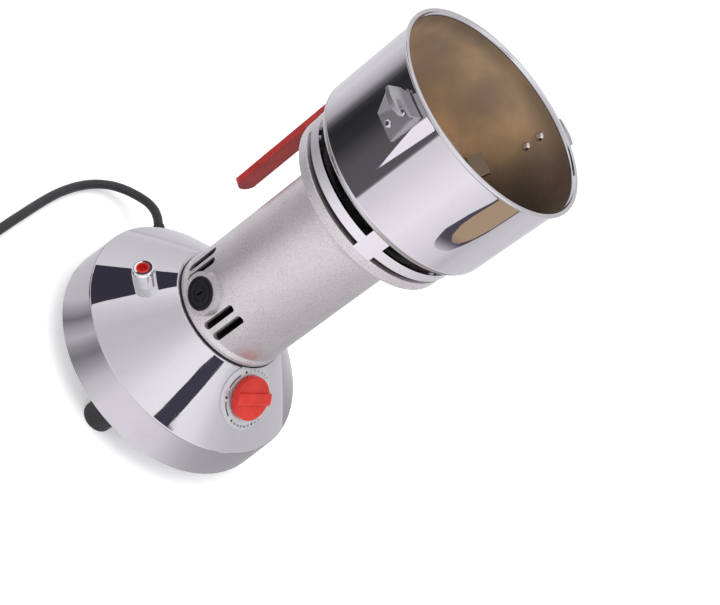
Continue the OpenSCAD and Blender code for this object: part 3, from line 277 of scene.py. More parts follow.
class Finish:
    """A material with one Principled shader, whose constant values are set when it is made."""

    def __init__(self, name, colour, metallic=0.0, roughness=0.5, **constants):
        self.material = bpy.data.materials.new(name)
        self.material.use_nodes = True
        self.tree = self.material.node_tree
        self.shader = self.tree.nodes["Principled BSDF"]
        self.set(Base_Color=(*colour, 1), Metallic=metallic, Roughness=roughness, **constants)

    def fill(self, socket, value):
        """Link a wire to a socket, or give the socket a plain value."""
        if isinstance(value, Wire):
            self.tree.links.new(value.output, socket)
        else:
            socket.default_value = value

    def set(self, **values):
        """Fill the shader's sockets. An underscore stands for the space in a socket's name."""
        for name, value in values.items():
            self.fill(self.shader.inputs[name.replace("_", " ")], value)
        return self

    def node(self, kind, settings, sockets, output=0):
        """Any node: its type, its settings, the values or wires of its sockets, and the output wanted."""
        node = self.tree.nodes.new(kind)
        for name, value in settings.items():
            if name == "stops":
                ramp = node.color_ramp
                while len(ramp.elements) < len(value):
                    ramp.elements.new(1)
                for element, (place, colour) in zip(ramp.elements, value):
                    element.position, element.color = place, (*colour, 1)
            else:
                setattr(node, name, value)
        for key, value in sockets.items():
            self.fill(node.inputs[key], value)
        return Wire(self, node.outputs[output])

    def math(self, operation, *values):
        return self.node("ShaderNodeMath", {"operation": operation}, dict(enumerate(values)))

    def vector(self, operation, *values, output=0):
        return self.node("ShaderNodeVectorMath", {"operation": operation}, dict(enumerate(values)), output)

    def place(self):
        """Object coordinates, in metres, the same for every piece because all of them sit at the origin."""
        return self.node("ShaderNodeTexCoord", {}, {}, "Object")

    def axes(self, vector):
        """The three components of a vector."""
        split = self.node("ShaderNodeSeparateXYZ", {}, {0: vector}).output.node
        return [Wire(self, output) for output in split.outputs]

    def joined(self, x, y, z):
        return self.node("ShaderNodeCombineXYZ", {}, {0: x, 1: y, 2: z})

    def step(self, value, low, high):
        """A smooth step from 0 at low to 1 at high."""
        return self.node("ShaderNodeMapRange", {"interpolation_type": "SMOOTHSTEP"},
                         {"Value": value, "From Min": low, "From Max": high})

    def band(self, value, low, high, soft):
        """1 between low and high, with soft edges."""
        return self.step(value, low - soft, low + soft) * (1 - self.step(value, high - soft, high + soft))

    def noise(self, vector, scale, detail=3.0, roughness=0.5):
        """Cloudy noise between 0 and 1, with about `scale` clouds to a metre."""
        return self.node("ShaderNodeTexNoise", {}, {"Vector": vector, "Scale": scale, "Detail": detail,
                                                    "Roughness": roughness})

    def mix(self, factor, first, second):
        """A colour between two colours."""
        colours = [(*value, 1) if isinstance(value, tuple) else value for value in (first, second)]
        sockets = {0: factor, 6: colours[0], 7: colours[1]}
        return self.node("ShaderNodeMix", {"data_type": "RGBA"}, sockets, 2)

    def bump(self, height, distance):
        """A normal tilted by a height between 0 and 1, where 1 stands `distance` metres proud."""
        return self.node("ShaderNodeBump", {}, {"Height": height, "Distance": distance, "Strength": 1.0})

    def around(self, vector):
        """Distance from the Z axis and height, the two measures of a turned or spun piece."""
        x, y, z = self.axes(vector)
        return self.math("SQRT", x * x + y * y), z


# %% [markdown]
# ## Polished steel
# The base cover, the ring and the bowl are stainless sheet, spun to shape and buffed to a mirror. What
# shows on them is mostly the studio, so the material adds only what a mirror finish still has: marks that run
# round the axis from the lathe, slow waves in the sheet that make straight reflections wander, and faint
# smears. The marks come from noise that is fine across the turning direction and long along it.

# %% Polished steel
STEEL = (0.62, 0.605, 0.635)
SMEARED = (0.56, 0.54, 0.56)
WAVE_H = 0.2 * MM


def turned_marks(finish, place):
    """Noise that changes fast with radius and height and slowly round the axis."""
    radius, height = finish.around(place)
    x, y, _ = finish.axes(place)
    return finish.noise(finish.joined(radius * 1500 + x * 6, height * 1500 + y * 6, x * 4), 1.0, 2.0)


def polish(finish):
    """The place, colour and roughness of buffed sheet with turned marks and smears. Waves tilt its normal."""
    place = finish.place()
    marks = turned_marks(finish, place)
    smears = finish.step(finish.noise(place, 22, 5.0, 0.65), 0.5, 0.75)
    waves = finish.noise(place, 9, 1.0)
    finish.set(Normal=finish.bump(waves + 0.0015 * marks, WAVE_H))
    steel = finish.mix(0.25 * marks + 0.5 * smears, STEEL, SMEARED)
    return place, steel, 0.012 + 0.014 * marks + 0.04 * smears


def polished_steel():
    finish = Finish("polished_steel", STEEL, 1.0, 0.03)
    _, steel, shine = polish(finish)
    return finish.set(Base_Color=steel, Roughness=shine).material


# %% [markdown]
# ## The bowl
# The bowl is drawn from one disc of sheet, so its outline is a single profile turned about the column: the
# flat floor, a bend, the straight wall, and a rim rolled outwards into a bead. Spinning a curve with a
# modifier would make the same shape. Here the profile is a list of points from lines and arcs, and the turn
# is one numpy product, so the crease under the bead stays where the profile says. The straight wall has two
# rings close together at each end: smooth shading then blends the bend there and leaves the wall itself
# straight, which matters on a mirror.

# %% Bowl values
BOWL_R = 79.4 * MM
BOWL_T = 1.5 * MM
BOWL_BEND = 7 * MM
SHAFT_HOLE = 9.5 * MM
BEAD_R = 1.6 * MM
BEAD_AT = 80.8 * MM
MID_FLOOR = 40 * MM
FLOOR_T = 4 * MM
BOWL_SIDES = 256
BOWL_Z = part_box("bowl")[0][2]
RIM_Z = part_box("bowl")[1][2]
FLOOR_Z = BOWL_Z + FLOOR_T
print("bowl from", round(BOWL_Z, 4), "to", round(RIM_Z, 4))


# %% Turn a profile
def arc(middle_r, middle_z, radius, start, end, steps):
    """Points on a circle in the radius and height plane, from one angle in degrees to another."""
    angle = np.radians(np.linspace(start, end, steps))
    return np.stack([middle_r + radius * np.cos(angle), middle_z + radius * np.sin(angle)], 1)


def turned(name, profile, sides):
    """A closed profile of radius r and height z turned once: (r cos a, r sin a, z) for every angle a.

    The profile runs with the metal on its left, so that the faces point outwards.
    """
    angle = np.arange(sides) * 2 * math.pi / sides
    radius, height = profile[:, :1], profile[:, 1:]
    points = np.stack([radius * np.cos(angle), radius * np.sin(angle), height + 0 * angle], -1)
    count = len(profile) * sides
    return new_object(name, points.reshape(-1, 3), grid_faces(len(profile) + 1, sides, True) % count)


# %% Make the bowl
INNER_R = BOWL_R - BOWL_T
WALL_LOW = BOWL_Z + BOWL_BEND + 0.4 * MM
under_bead = [(BOWL_R + out * MM, RIM_Z - down * MM)
              for out, down in ((0, 5), (0, 4.6), (0.05, 3.6), (0.2, 3))]
inside_lip = [(INNER_R + out * MM, RIM_Z - down * MM)
              for out, down in ((1.05, 1.8), (0.6, 2.3), (0.2, 2.8), (0, 3.5), (0, 3.9), (0, 4.3))]
profile = np.concatenate([
    [(SHAFT_HOLE, BOWL_Z), (MID_FLOOR, BOWL_Z)],
    arc(BOWL_R - BOWL_BEND, BOWL_Z + BOWL_BEND, BOWL_BEND, -90, 0, 10),
    [(BOWL_R, WALL_LOW), (BOWL_R, WALL_LOW + 0.4 * MM)], under_bead,
    arc(BEAD_AT, RIM_Z - BEAD_R, BEAD_R, -130, 165, 20), inside_lip,
    [(INNER_R, WALL_LOW + 3.4 * MM), (INNER_R, WALL_LOW + 3 * MM)],
    arc(BOWL_R - BOWL_BEND, FLOOR_Z + BOWL_BEND - BOWL_T, BOWL_BEND - BOWL_T, 0, -90, 10),
    [(MID_FLOOR, FLOOR_Z), (SHAFT_HOLE, FLOOR_Z)]])
spun_bowl = turned("spun_bowl", profile, BOWL_SIDES)
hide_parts("bowl")
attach(spun_bowl, "base")
print("bowl profile:", len(profile), "points,", len(spun_bowl.data.polygons), "faces")

# %% [markdown]
# ## Coffee film and painted shade
# Outside, the bowl is the same polished steel as the ring. Inside, ground coffee has left a thin tan film. On
# it, one side of the wall is darkened with painted shade, and a near-black line of painted shade lies in the
# crease under the lip. The film is also darker near the rim and a little darker low down. A film has no
# thickness to speak of, so it isn't a second piece: it is a colour and roughness that start inside the middle
# of the wall and end under the lip. It is part metal and part dust, so it takes light as both.

# %% Bowl steel
def coffee_film(finish, place):
    """How much film there is, its colour with painted shade, and how rough it is.

    The shaded side is a slanted plane: 0.75 x - 0.66 y less a quarter of the height over the floor.
    """
    radius, height = finish.around(place)
    inside = (finish.math("LESS_THAN", radius, BOWL_R - BOWL_T / 2)
              * finish.step(height, FLOOR_Z - 1 * MM, FLOOR_Z - 0.2 * MM))
    film = inside * (1 - finish.step(height, RIM_Z - 3 * MM, RIM_Z - 2.2 * MM))
    # Painted shade: a near-black line in the crease under the lip.
    line = finish.band(height, RIM_Z - 3.4 * MM, RIM_Z - 2.4 * MM, 0.2 * MM)
    cloud = finish.noise(place, 15, 4.0, 0.55)
    grains = finish.step(finish.noise(place, 900, 2.0), 0.62, 0.7)
    tan = finish.mix(finish.step(cloud, 0.36, 0.64), (0.88, 0.64, 0.40), (0.54, 0.41, 0.30))
    x, y, _ = finish.axes(place)
    # Painted shade: past a slanted plane, one side of the wall is mixed towards near black.
    side = finish.step(0.75 * x - 0.66 * y - 0.25 * (height - FLOOR_Z), 24 * MM, 70 * MM)
    shaded = finish.mix(side, tan, (0.06, 0.052, 0.052))
    # The film is mixed darker towards the rim, and a little darker towards the floor.
    near_rim = finish.step(height, RIM_Z - 20 * MM, RIM_Z - 4 * MM)
    worn = finish.mix(0.55 * near_rim, shaded, (0.11, 0.085, 0.07))
    low = finish.step(height, FLOOR_Z + 45 * MM, FLOOR_Z)
    darker_low_down = finish.mix(0.15 * low, worn, (0.13, 0.10, 0.08))
    dust_and_shade = finish.mix(0.2 * grains, darker_low_down, (0.62, 0.5, 0.38))
    return film, finish.mix(line, dust_and_shade, (0.03, 0.026, 0.026)), 0.28 + 0.15 * cloud + 0.1 * grains


def bowl_steel():
    finish = Finish("bowl_steel", STEEL, 1.0, 0.03)
    place, steel, shine = polish(finish)
    # The film's colour carries its painted shade as well as the coffee dust.
    film, dust, dull = coffee_film(finish, place)
    finish.set(Base_Color=finish.mix(film, steel, dust), Metallic=1 - 0.6 * film,
               Roughness=shine + film * dull)
    return finish.material


# %% [markdown]
# ## Satin sheet
# The keepers, blades and bottom plate are cut from stainless sheet that was never buffed. Fine straight
# lines from the rolling mill and the belt sander give it a grey, slightly stretched shine. The blades have
# the same lines under brown dust.

# %% Satin sheet
def satin_steel(name, light, dark, wear=0.3):
    finish = Finish(name, light, 1.0, 0.3)
    place = finish.place()
    x, y, z = finish.axes(place)
    lines = finish.noise(finish.joined((x + y) * 60, (x - y) * 60, z * 2600), 1.0, 4.0)
    cloud = finish.noise(place, 130, 4.0)
    finish.set(Base_Color=finish.mix(0.55 * lines + 0.45 * cloud, light, dark),
               Roughness=0.22 + 0.16 * lines + wear * 0.2 * cloud,
               Normal=finish.bump(lines, 0.00002))
    return finish.material


# %% [markdown]
# ## Hammered paint
# The motor housing is die-cast aluminium under a silver hammer paint, which dries in fine specks of slightly
# different tone. Voronoi cells read at places that noise throws about give part of the specks, and finer
# noise the rest. Round the vent gaps, the top of the flange and the inside of the bore are dull with dust and
# darkened with painted shade, so the colour changes at certain radii above and below the flange's top.

# %% Hammered paint
FLANGE_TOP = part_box("vent_ring")[0][2]
BORE_R = 45.6 * MM
SILL_R = 56 * MM
DUST_AND_SHADE_R = 67.9 * MM


def cast_metal():
    finish = Finish("cast_metal", (0.6, 0.57, 0.575), 0.7, 0.36, Coat_Weight=0.15, Coat_Roughness=0.2)
    place = finish.place()
    thrown = finish.node("ShaderNodeTexNoise", {}, {"Vector": place, "Scale": 260.0, "Detail": 2.0}, "Color")
    cells = finish.node("ShaderNodeTexVoronoi", {"feature": "SMOOTH_F1"},
                        {"Vector": finish.vector("ADD", place, thrown), "Scale": 520.0, "Smoothness": 0.6})
    speck = finish.noise(place, 1000, 4.0, 0.7)
    cloud = finish.noise(place, 45, 4.0, 0.6)
    tone = 0.35 * cells + 0.5 * speck + 0.15 * cloud
    paint = finish.mix(finish.step(tone, 0.3, 0.6), (0.44, 0.415, 0.43), (0.70, 0.67, 0.685))
    radius, height = finish.around(place)
    # Painted shade: inside the bore and on the flange top under the ring, the paint gives way to near-black,
    # dull, rough colours.
    above = finish.step(height, FLANGE_TOP - 0.6 * MM, FLANGE_TOP - 0.2 * MM)
    bore = (1 - finish.step(radius, BORE_R - 0.3 * MM, BORE_R + 0.3 * MM)) * (1 - above)
    on_top = (1 - finish.step(radius, DUST_AND_SHADE_R - 0.7 * MM, DUST_AND_SHADE_R + 0.7 * MM)) * above
    dust_and_shade = finish.math("MAXIMUM", bore, on_top)
    sill = finish.step(radius, SILL_R - 1 * MM, SILL_R + 1 * MM)
    dust = finish.mix(sill, finish.mix(bore, (0.10, 0.09, 0.105), (0.02, 0.018, 0.018)), (0.12, 0.10, 0.09))
    finish.set(Base_Color=finish.mix(dust_and_shade, paint, dust), Metallic=0.7 * (1 - dust_and_shade),
               Roughness=0.22 + 0.14 * speck + 0.4 * dust_and_shade, Coat_Weight=0.15 * (1 - dust_and_shade),
               Normal=finish.bump(0.6 * cells + 0.4 * speck, 0.00004))
    return finish.material


# The bearing bracket's bare casting is dark grey: painted shade for the unlit inside of the motor, with
# drifts of dust tone.
def bare_casting_painted_shade():
    finish = Finish("bare_casting_painted_shade", (0.2, 0.19, 0.19), 0.6, 0.6)
    place = finish.place()
    dust = finish.noise(place, 120, 5.0, 0.65)
    grain = finish.noise(place, 900, 3.0)
    finish.set(Base_Color=finish.mix(dust, (0.2, 0.19, 0.21), (0.42, 0.4, 0.42)),
               Roughness=0.5 + 0.25 * grain, Normal=finish.bump(grain, 0.00006))
    return finish.material


# %% [markdown]
# ## Screws, nuts and bearings
# Small steel parts are zinc-plated or ground. Zinc has a faint blue and yellow bloom, so two tints drift into
# each other at the size of a screw head.

# %% Plated steel
def screw_steel():
    finish = Finish("screw_steel", (0.6, 0.6, 0.61), 1.0, 0.28)
    place = finish.place()
    bloom = finish.noise(place, 190, 3.0)
    marks = finish.noise(place, 2200, 3.0)
    finish.set(Base_Color=finish.mix(finish.step(bloom, 0.35, 0.65), (0.55, 0.57, 0.6), (0.64, 0.61, 0.55)),
               Roughness=0.2 + 0.18 * marks, Normal=finish.bump(marks, 0.00001))
    return finish.material


# %% [markdown]
# ## Rubber and cord sheath
# Moulded rubber is dark grey rather than black, dull, and paler where dust has settled. The cord's sheath is
# smoother. It carries a faint stretched grain along its length, so its material reads an attribute that holds
# the length along the cord and the angle round it.

# %% Rubber
def black_rubber():
    finish = Finish("black_rubber", (0.02, 0.02, 0.022), 0.0, 0.55, Specular_IOR_Level=0.4)
    place = finish.place()
    grain = finish.noise(place, 1800, 3.0)
    dust = finish.step(finish.noise(place, 60, 5.0, 0.6), 0.45, 0.8)
    finish.set(Base_Color=finish.mix(0.5 * dust, (0.008, 0.008, 0.010), (0.05, 0.048, 0.048)),
               Roughness=0.42 + 0.25 * grain, Normal=finish.bump(grain, 0.00003))
    return finish.material


def cord_sheath():
    finish = Finish("cord_plastic", (0.02, 0.02, 0.022), 0.0, 0.4)
    along = finish.node("ShaderNodeAttribute", {"attribute_name": "cord_way"}, {}, "Vector")
    grain = finish.noise(along, 1.0, 3.0)
    dust = finish.step(finish.noise(finish.place(), 70, 5.0, 0.6), 0.45, 0.8)
    finish.set(Base_Color=finish.mix(0.4 * dust, (0.014, 0.014, 0.016), (0.05, 0.05, 0.05)),
               Roughness=0.32 + 0.2 * grain, Normal=finish.bump(grain, 0.00004))
    return finish.material


def moulded_black(name, roughness):
    finish = Finish(name, (0.012, 0.012, 0.014), 0.0, roughness, Specular_IOR_Level=0.25)
    place = finish.place()
    flow = finish.noise(place, 150, 4.0)
    grain = finish.noise(place, 2600, 2.0)
    finish.set(Base_Color=finish.mix(flow, (0.004, 0.004, 0.006), (0.010, 0.009, 0.011)),
               Roughness=roughness - 0.06 + 0.12 * grain + 0.06 * flow, Normal=finish.bump(grain, 0.00001))
    return finish.material


# %% Write the length and angle along the cord
GRAIN_ALONG = 120
GRAIN_ROUND = 6
rings = len(cord_line)
round_cord = np.arange(CORD_SIDES) * 2 * math.pi / CORD_SIDES
way = np.zeros((rings, CORD_SIDES, 3))
way[..., 0] = np.linspace(0, CORD_LENGTH, rings)[:, None] * GRAIN_ALONG
way[..., 1] = np.cos(round_cord) * GRAIN_ROUND
way[..., 2] = np.sin(round_cord) * GRAIN_ROUND
cord_way = mains_cord.data.attributes.new("cord_way", "FLOAT_VECTOR", "POINT")
cord_way.data.foreach_set("vector", way.ravel())
print("cord rings:", rings)


# %% [markdown]
# ## Red plastic
# Handle, knob and button are moulded in one red, but the handle's copy is darker: painted shade, where the
# bowl shades it. Glossy moulded plastic isn't quite smooth: it has a slow sink here and there and hairline
# rubs, which soften the highlights.

# %% Red plastic
def red_plastic(name, colour, deep):
    finish = Finish(name, colour, 0.0, 0.25, Specular_IOR_Level=0.4)
    place = finish.place()
    flow = finish.noise(place, 70, 3.0)
    rubs = finish.step(finish.noise(place, 380, 6.0, 0.7), 0.55, 0.85)
    finish.set(Base_Color=finish.mix(finish.step(flow, 0.3, 0.7), colour, deep),
               Roughness=0.12 + 0.1 * rubs + 0.05 * flow,
               Normal=finish.bump(finish.noise(place, 120, 2.0), 0.00005))
    return finish.material


def pale_plastic():
    finish = Finish("pale_plastic", (0.72, 0.69, 0.6), 0.0, 0.5)
    place = finish.place()
    grain = finish.noise(place, 1200, 3.0)
    cloud = finish.noise(place, 40, 3.0)
    finish.set(Base_Color=finish.mix(cloud, (0.74, 0.71, 0.62), (0.62, 0.58, 0.48)),
               Roughness=0.42 + 0.15 * grain, Normal=finish.bump(grain, 0.00003))
    return finish.material


# %% [markdown]
# ## Chrome, copper, brass and laminated steel
# These are mostly inside the machine. Laminated cores show their sheets as fine level lines. Windings show
# their turns as close round ridges, which a sine of the height and of the radius draws.

# %% Motor metals
def chromed_steel():
    finish = Finish("chromed_steel", (0.8, 0.8, 0.82), 1.0, 0.06)
    place = finish.place()
    haze = finish.step(finish.noise(place, 260, 5.0, 0.7), 0.5, 0.8)
    finish.set(Base_Color=finish.mix(haze, (0.82, 0.82, 0.84), (0.66, 0.65, 0.66)),
               Roughness=0.03 + 0.12 * haze, Normal=finish.bump(finish.noise(place, 60, 1.0), 0.00003))
    return finish.material


def ridged_metal(name, light, dark, pitch, metallic, roughness):
    """Ridges at an even pitch in height and in radius, as stacked sheets or wound wire have."""
    finish = Finish(name, light, metallic, roughness)
    place = finish.place()
    radius, height = finish.around(place)
    turn = 2 * math.pi / pitch
    ridge = 0.5 + 0.25 * finish.math("SINE", height * turn) + 0.25 * finish.math("SINE", radius * turn)
    tone = finish.noise(place, 240, 4.0)
    finish.set(Base_Color=finish.mix(0.6 * tone + 0.4 * (1 - ridge), light, dark),
               Roughness=roughness - 0.05 + 0.15 * tone, Normal=finish.bump(ridge, pitch * 0.12))
    return finish.material


def plain_metal(name, light, dark, roughness):
    """Drawn or turned metal with tarnish in drifts and fine tool marks."""
    finish = Finish(name, light, 1.0, roughness)
    place = finish.place()
    tarnish = finish.step(finish.noise(place, 110, 5.0, 0.6), 0.35, 0.75)
    marks = turned_marks(finish, place)
    finish.set(Base_Color=finish.mix(tarnish, light, dark),
               Roughness=roughness - 0.06 + 0.12 * marks + 0.1 * tarnish,
               Normal=finish.bump(marks, 0.000008))
    return finish.material


def carbon():
    finish = Finish("carbon", (0.05, 0.05, 0.052), 0.0, 0.55)
    place = finish.place()
    grain = finish.noise(place, 2400, 3.0)
    finish.set(Base_Color=finish.mix(grain, (0.03, 0.03, 0.032), (0.085, 0.085, 0.09)),
               Roughness=0.45 + 0.2 * grain, Normal=finish.bump(grain, 0.00003))
    return finish.material


# %% [markdown]
# ## The dial
# The dial is a thin foil disc stuck on the cone under the knob, printed with a timer scale: OFF, two arcs
# that say which way to turn, four dots, and numbers for the minutes. The arcs and dots are part of the foil's
# material, as steps of distance and angle about the print's middle, which lies a little off the knob's. The
# measures u (level) and v (up the slope) are dot products with the dial's own directions. OFF and the numbers
# are thin solid letters, because a font already holds the outlines of letters and Blender turns them into a
# mesh. The row of fives leaves out the number where a dot stands.

# %% Dial values
LANDING_R = 51.6 * MM
LANDING_Z = 95.6 * MM
CONE_H = 43.7 * MM
SKIRT_TOP_R = 99.8 * MM
CONE_SLOPE = math.atan2(CONE_H, SKIRT_TOP_R - LANDING_R)
KNOB_TURN = math.radians(1.9)
KNOB_S = 20.8 * MM
PRINT_AT = (1.2 * MM, -1.1 * MM)
PRINT_R = 21.8 * MM
DIAL_LEVEL = np.array([math.cos(KNOB_TURN), math.sin(KNOB_TURN), 0])
DIAL_OUT = level_heading(KNOB_TURN)
DIAL_UP = math.sin(CONE_SLOPE) * np.array([0, 0, 1]) - math.cos(CONE_SLOPE) * DIAL_OUT
DIAL_NORMAL = math.cos(CONE_SLOPE) * np.array([0, 0, 1]) + math.sin(CONE_SLOPE) * DIAL_OUT
DIAL_AT = (LANDING_R + KNOB_S * math.cos(CONE_SLOPE)) * DIAL_OUT + np.array(
    [0, 0, LANDING_Z - KNOB_S * math.sin(CONE_SLOPE)])
ARCS = ((-70, -36), (-130, -98))
DOTS = (-90, -143, -22, 157)
ARC_T = 0.55 * MM
DOT_R = 1.05 * MM
AT_DOT = 2
SINGLES = [(str(k + 1), -11 + 10.6 * k, 3.0) for k in range(6)]
FIVES = [(str(10 + 5 * k), 138 + 9.9 * k, 2.5) for k in range(8) if k != AT_DOT]
WORDS = [("OFF", -82, 3.2)] + SINGLES + FIVES
print("dial at", DIAL_AT.round(4))


# %% Dial print
def dial_foil():
    finish = Finish("dial_print", (0.6, 0.61, 0.63), 0.55, 0.36)
    place = finish.place()
    apart = finish.vector("SUBTRACT", place, tuple(DIAL_AT))
    u = finish.vector("DOT_PRODUCT", apart, tuple(DIAL_LEVEL), output="Value") - PRINT_AT[0]
    v = finish.vector("DOT_PRODUCT", apart, tuple(DIAL_UP), output="Value") - PRINT_AT[1]
    away = finish.math("SQRT", u * u + v * v)
    angle = finish.math("ARCTAN2", u, v)
    ink = None
    for low, high in ARCS:
        across = finish.band(away, PRINT_R - ARC_T, PRINT_R + ARC_T, 0.1 * MM)
        stroke = across * finish.band(angle, math.radians(low), math.radians(high), 0.01)
        ink = stroke if ink is None else finish.math("MAXIMUM", ink, stroke)
    for turn in DOTS:
        du = u - PRINT_R * math.sin(math.radians(turn))
        dv = v - PRINT_R * math.cos(math.radians(turn))
        from_dot = finish.math("SQRT", du * du + dv * dv)
        dot = 1 - finish.step(from_dot, DOT_R - 0.1 * MM, DOT_R + 0.1 * MM)
        ink = finish.math("MAXIMUM", ink, dot)
    sheen = finish.noise(place, 2500, 2.0)
    cloud = finish.noise(place, 90, 4.0)
    foil = finish.mix(0.5 * sheen + 0.5 * cloud, (0.66, 0.67, 0.69), (0.52, 0.53, 0.55))
    finish.set(Base_Color=finish.mix(ink, foil, (0.02, 0.02, 0.04)), Metallic=0.55 * (1 - ink),
               Roughness=0.3 + 0.12 * sheen)
    return finish.material


def dial_ink():
    finish = Finish("dial_ink", (0.02, 0.02, 0.04), 0.0, 0.45)
    worn = finish.noise(finish.place(), 1400, 3.0)
    return finish.set(Base_Color=finish.mix(worn, (0.008, 0.008, 0.02), (0.03, 0.03, 0.045)),
                      Roughness=0.35 + 0.2 * worn).material


# %% Dial numbers
def written(text, turn, size, height):
    """The points and faces of one word on the dial, its foot towards the knob.

    A letter's point (a, b) goes to middle + (reach + b) * outward + a * sideways, and its depth goes up.
    """
    curve = bpy.data.curves.new("word", "FONT")
    curve.body, curve.size, curve.extrude = text, size * MM, 0.02 * MM
    curve.align_x = curve.align_y = "CENTER"
    curve.resolution_u = 3
    word = bpy.data.objects.new("word", curve)
    mesh = bpy.data.meshes.new_from_object(word)
    flat = np.zeros(len(mesh.vertices) * 3)
    mesh.vertices.foreach_get("co", flat)
    a, b, depth = flat.reshape(-1, 3).T[:, :, None]
    faces = [tuple(face.vertices) for face in mesh.polygons]
    for made, store in ((word, bpy.data.objects), (mesh, bpy.data.meshes), (curve, bpy.data.curves)):
        store.remove(made)
    turn = math.radians(turn)
    outward = math.sin(turn) * DIAL_LEVEL + math.cos(turn) * DIAL_UP
    sideways = math.cos(turn) * DIAL_LEVEL - math.sin(turn) * DIAL_UP
    middle = DIAL_AT + PRINT_AT[0] * DIAL_LEVEL + PRINT_AT[1] * DIAL_UP
    return middle + (PRINT_R + b) * outward + a * sideways + (height + depth) * DIAL_NORMAL, faces


pad = np.zeros(len(frame["nodes"]["dial_pad"].data.vertices) * 3)
frame["nodes"]["dial_pad"].data.vertices.foreach_get("co", pad)
pad_top = ((pad.reshape(-1, 3) - DIAL_AT) @ DIAL_NORMAL).max()
points, faces, count = [], [], 0
for text, turn, size in WORDS:
    word_points, word_faces = written(text, turn, size, pad_top + 0.03 * MM)
    faces += [tuple(corner + count for corner in face) for face in word_faces]
    points.append(word_points)
    count += len(word_points)
dial_numbers = new_object("dial_numbers", np.concatenate(points), faces, False)
dial_numbers.data.materials.append(dial_ink())
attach(dial_numbers, "base")
print("dial top", round(pad_top / MM, 2), "mm,", count, "points of print")


# %% [markdown]
# ## Give each node its finish
# The record says which slot each CAD node takes its finish from. A few nodes look different from the rest
# of their slot, such as the blades under their dust, so they are named here.

# %% Finishes by slot and node
FINISHES = {
    "polished_steel": polished_steel(),
    "sheet_steel": satin_steel("sheet_steel", (0.60, 0.595, 0.605), (0.38, 0.375, 0.39)),
    "cast_metal": cast_metal(),
    "screw_steel": screw_steel(),
    "black_rubber": black_rubber(),
    "cord_plastic": cord_sheath(),
    "tie_plastic": moulded_black("tie_plastic", 0.45),
    "red_plastic": red_plastic("red_plastic", (0.66, 0.03, 0.018), (0.55, 0.02, 0.012)),
    "black_plastic": moulded_black("black_plastic", 0.3),
    "pale_plastic": pale_plastic(),
    "dial_print": dial_foil(),
    "chromed_steel": chromed_steel(),
    "laminated_steel": ridged_metal(
        "laminated_steel", (0.34, 0.34, 0.36), (0.16, 0.15, 0.15), 0.5 * MM, 0.9, 0.4),
    "copper_wire": ridged_metal("copper_wire", (0.62, 0.28, 0.11), (0.32, 0.11, 0.04), 0.9 * MM, 0.9, 0.35),
    "copper_bar": plain_metal("copper_bar", (0.74, 0.42, 0.24), (0.42, 0.2, 0.1), 0.3),
    "brass": plain_metal("brass", (0.76, 0.6, 0.3), (0.5, 0.37, 0.16), 0.3),
    "carbon": carbon()}
BLADES = satin_steel("dusty_blades", (0.25, 0.19, 0.135), (0.15, 0.11, 0.075), 0.8)
# The handle's red is a darker copy: painted shade, where the bowl shades it.
SPECIAL = {"bearing_bracket": bare_casting_painted_shade(), "lower_blade": BLADES, "upper_blade": BLADES,
           "handle": red_plastic("handle_red_painted_shade", (0.43, 0.028, 0.022), (0.34, 0.02, 0.018))}
slot_of = {part["node"]: part["material_slot"] for part in frame["record"]["subparts"]}
for node, piece in frame["nodes"].items():
    material = SPECIAL.get(node, FINISHES[slot_of[node]])
    for slot in piece.material_slots:
        slot.material = material
    if not piece.material_slots:
        piece.data.materials.append(material)
mains_cord.data.materials.append(FINISHES["cord_plastic"])
spun_bowl.data.materials.append(bowl_steel())
in_use = {material.name for material in [*FINISHES.values(), *SPECIAL.values()]}
print(len(frame["nodes"]), "nodes in", len(in_use), "finishes")

# %% [markdown]
# ## Floor and cards
# The machine stands on a wide white floor. Polished steel shows whatever stands round it, and a
# photographer shapes that with white and dark cards. Here a flat ring of light lies just over the floor,
# which only reflections see. Its brightness depends on the turn about the column, with one set of tones for
# each piece, because skirt, housing, ring and bowl each mirror their own band of the floor. The white, dark
# and tan cards for the bowl lie on it, the last two fading towards the column. Those for the cone hang in the
# air, because the cone mirrors what is above.

# %% Stage helpers
ROOM_R = 9.0


def stage_sheet(name, corners, material, faces=None):
    """A flat sheet between corners given in metres."""
    sheet = new_object(name, corners, [tuple(range(len(corners)))] if faces is None else faces, False)
    sheet.data.materials.append(material)
    return sheet


def only_reflected(sheet):
    """Only glossy rays see the sheet: it is in no picture directly, and it neither lights nor shades."""
    sheet.visible_camera = sheet.visible_diffuse = sheet.visible_transmission = sheet.visible_shadow = False


def glow(name, colour, near=None, start=0.0, end=1.0):
    """An even light, or one that fades from a nearer colour as the distance from the column grows."""
    finish = Finish(name, (0, 0, 0), 0.0, 1.0, Specular_IOR_Level=0.0)
    shade = (*colour, 1)
    if near:
        radius, _ = finish.around(finish.place())
        shade = finish.mix(finish.step(radius, start, end), near, colour)
    return finish.set(Emission_Color=shade, Emission_Strength=1.0).material


def in_the_air(turn, rise, distance=3.0):
    """The point seen from the machine at a turn from the knob's side and a rise above the floor."""
    turn, rise = math.radians(turn), math.radians(rise)
    return (distance * math.cos(rise) * math.sin(turn), -distance * math.cos(rise) * math.cos(turn),
            distance * math.sin(rise))


# %% Floor
floor_look = Finish("floor", (0.9, 0.9, 0.905), 0.0, 0.7, Specular_IOR_Level=0.1, Emission_Strength=0.3)
floor_grain = floor_look.noise(floor_look.place(), 3, 4.0)
floor_look.set(Base_Color=floor_look.mix(floor_grain, (0.9, 0.9, 0.905), (0.885, 0.885, 0.89)),
               Emission_Color=(1, 1, 1, 1))
stage_sheet("floor", [(-ROOM_R, -ROOM_R, 0), (ROOM_R, -ROOM_R, 0), (ROOM_R, ROOM_R, 0), (-ROOM_R, ROOM_R, 0)],
            floor_look.material)

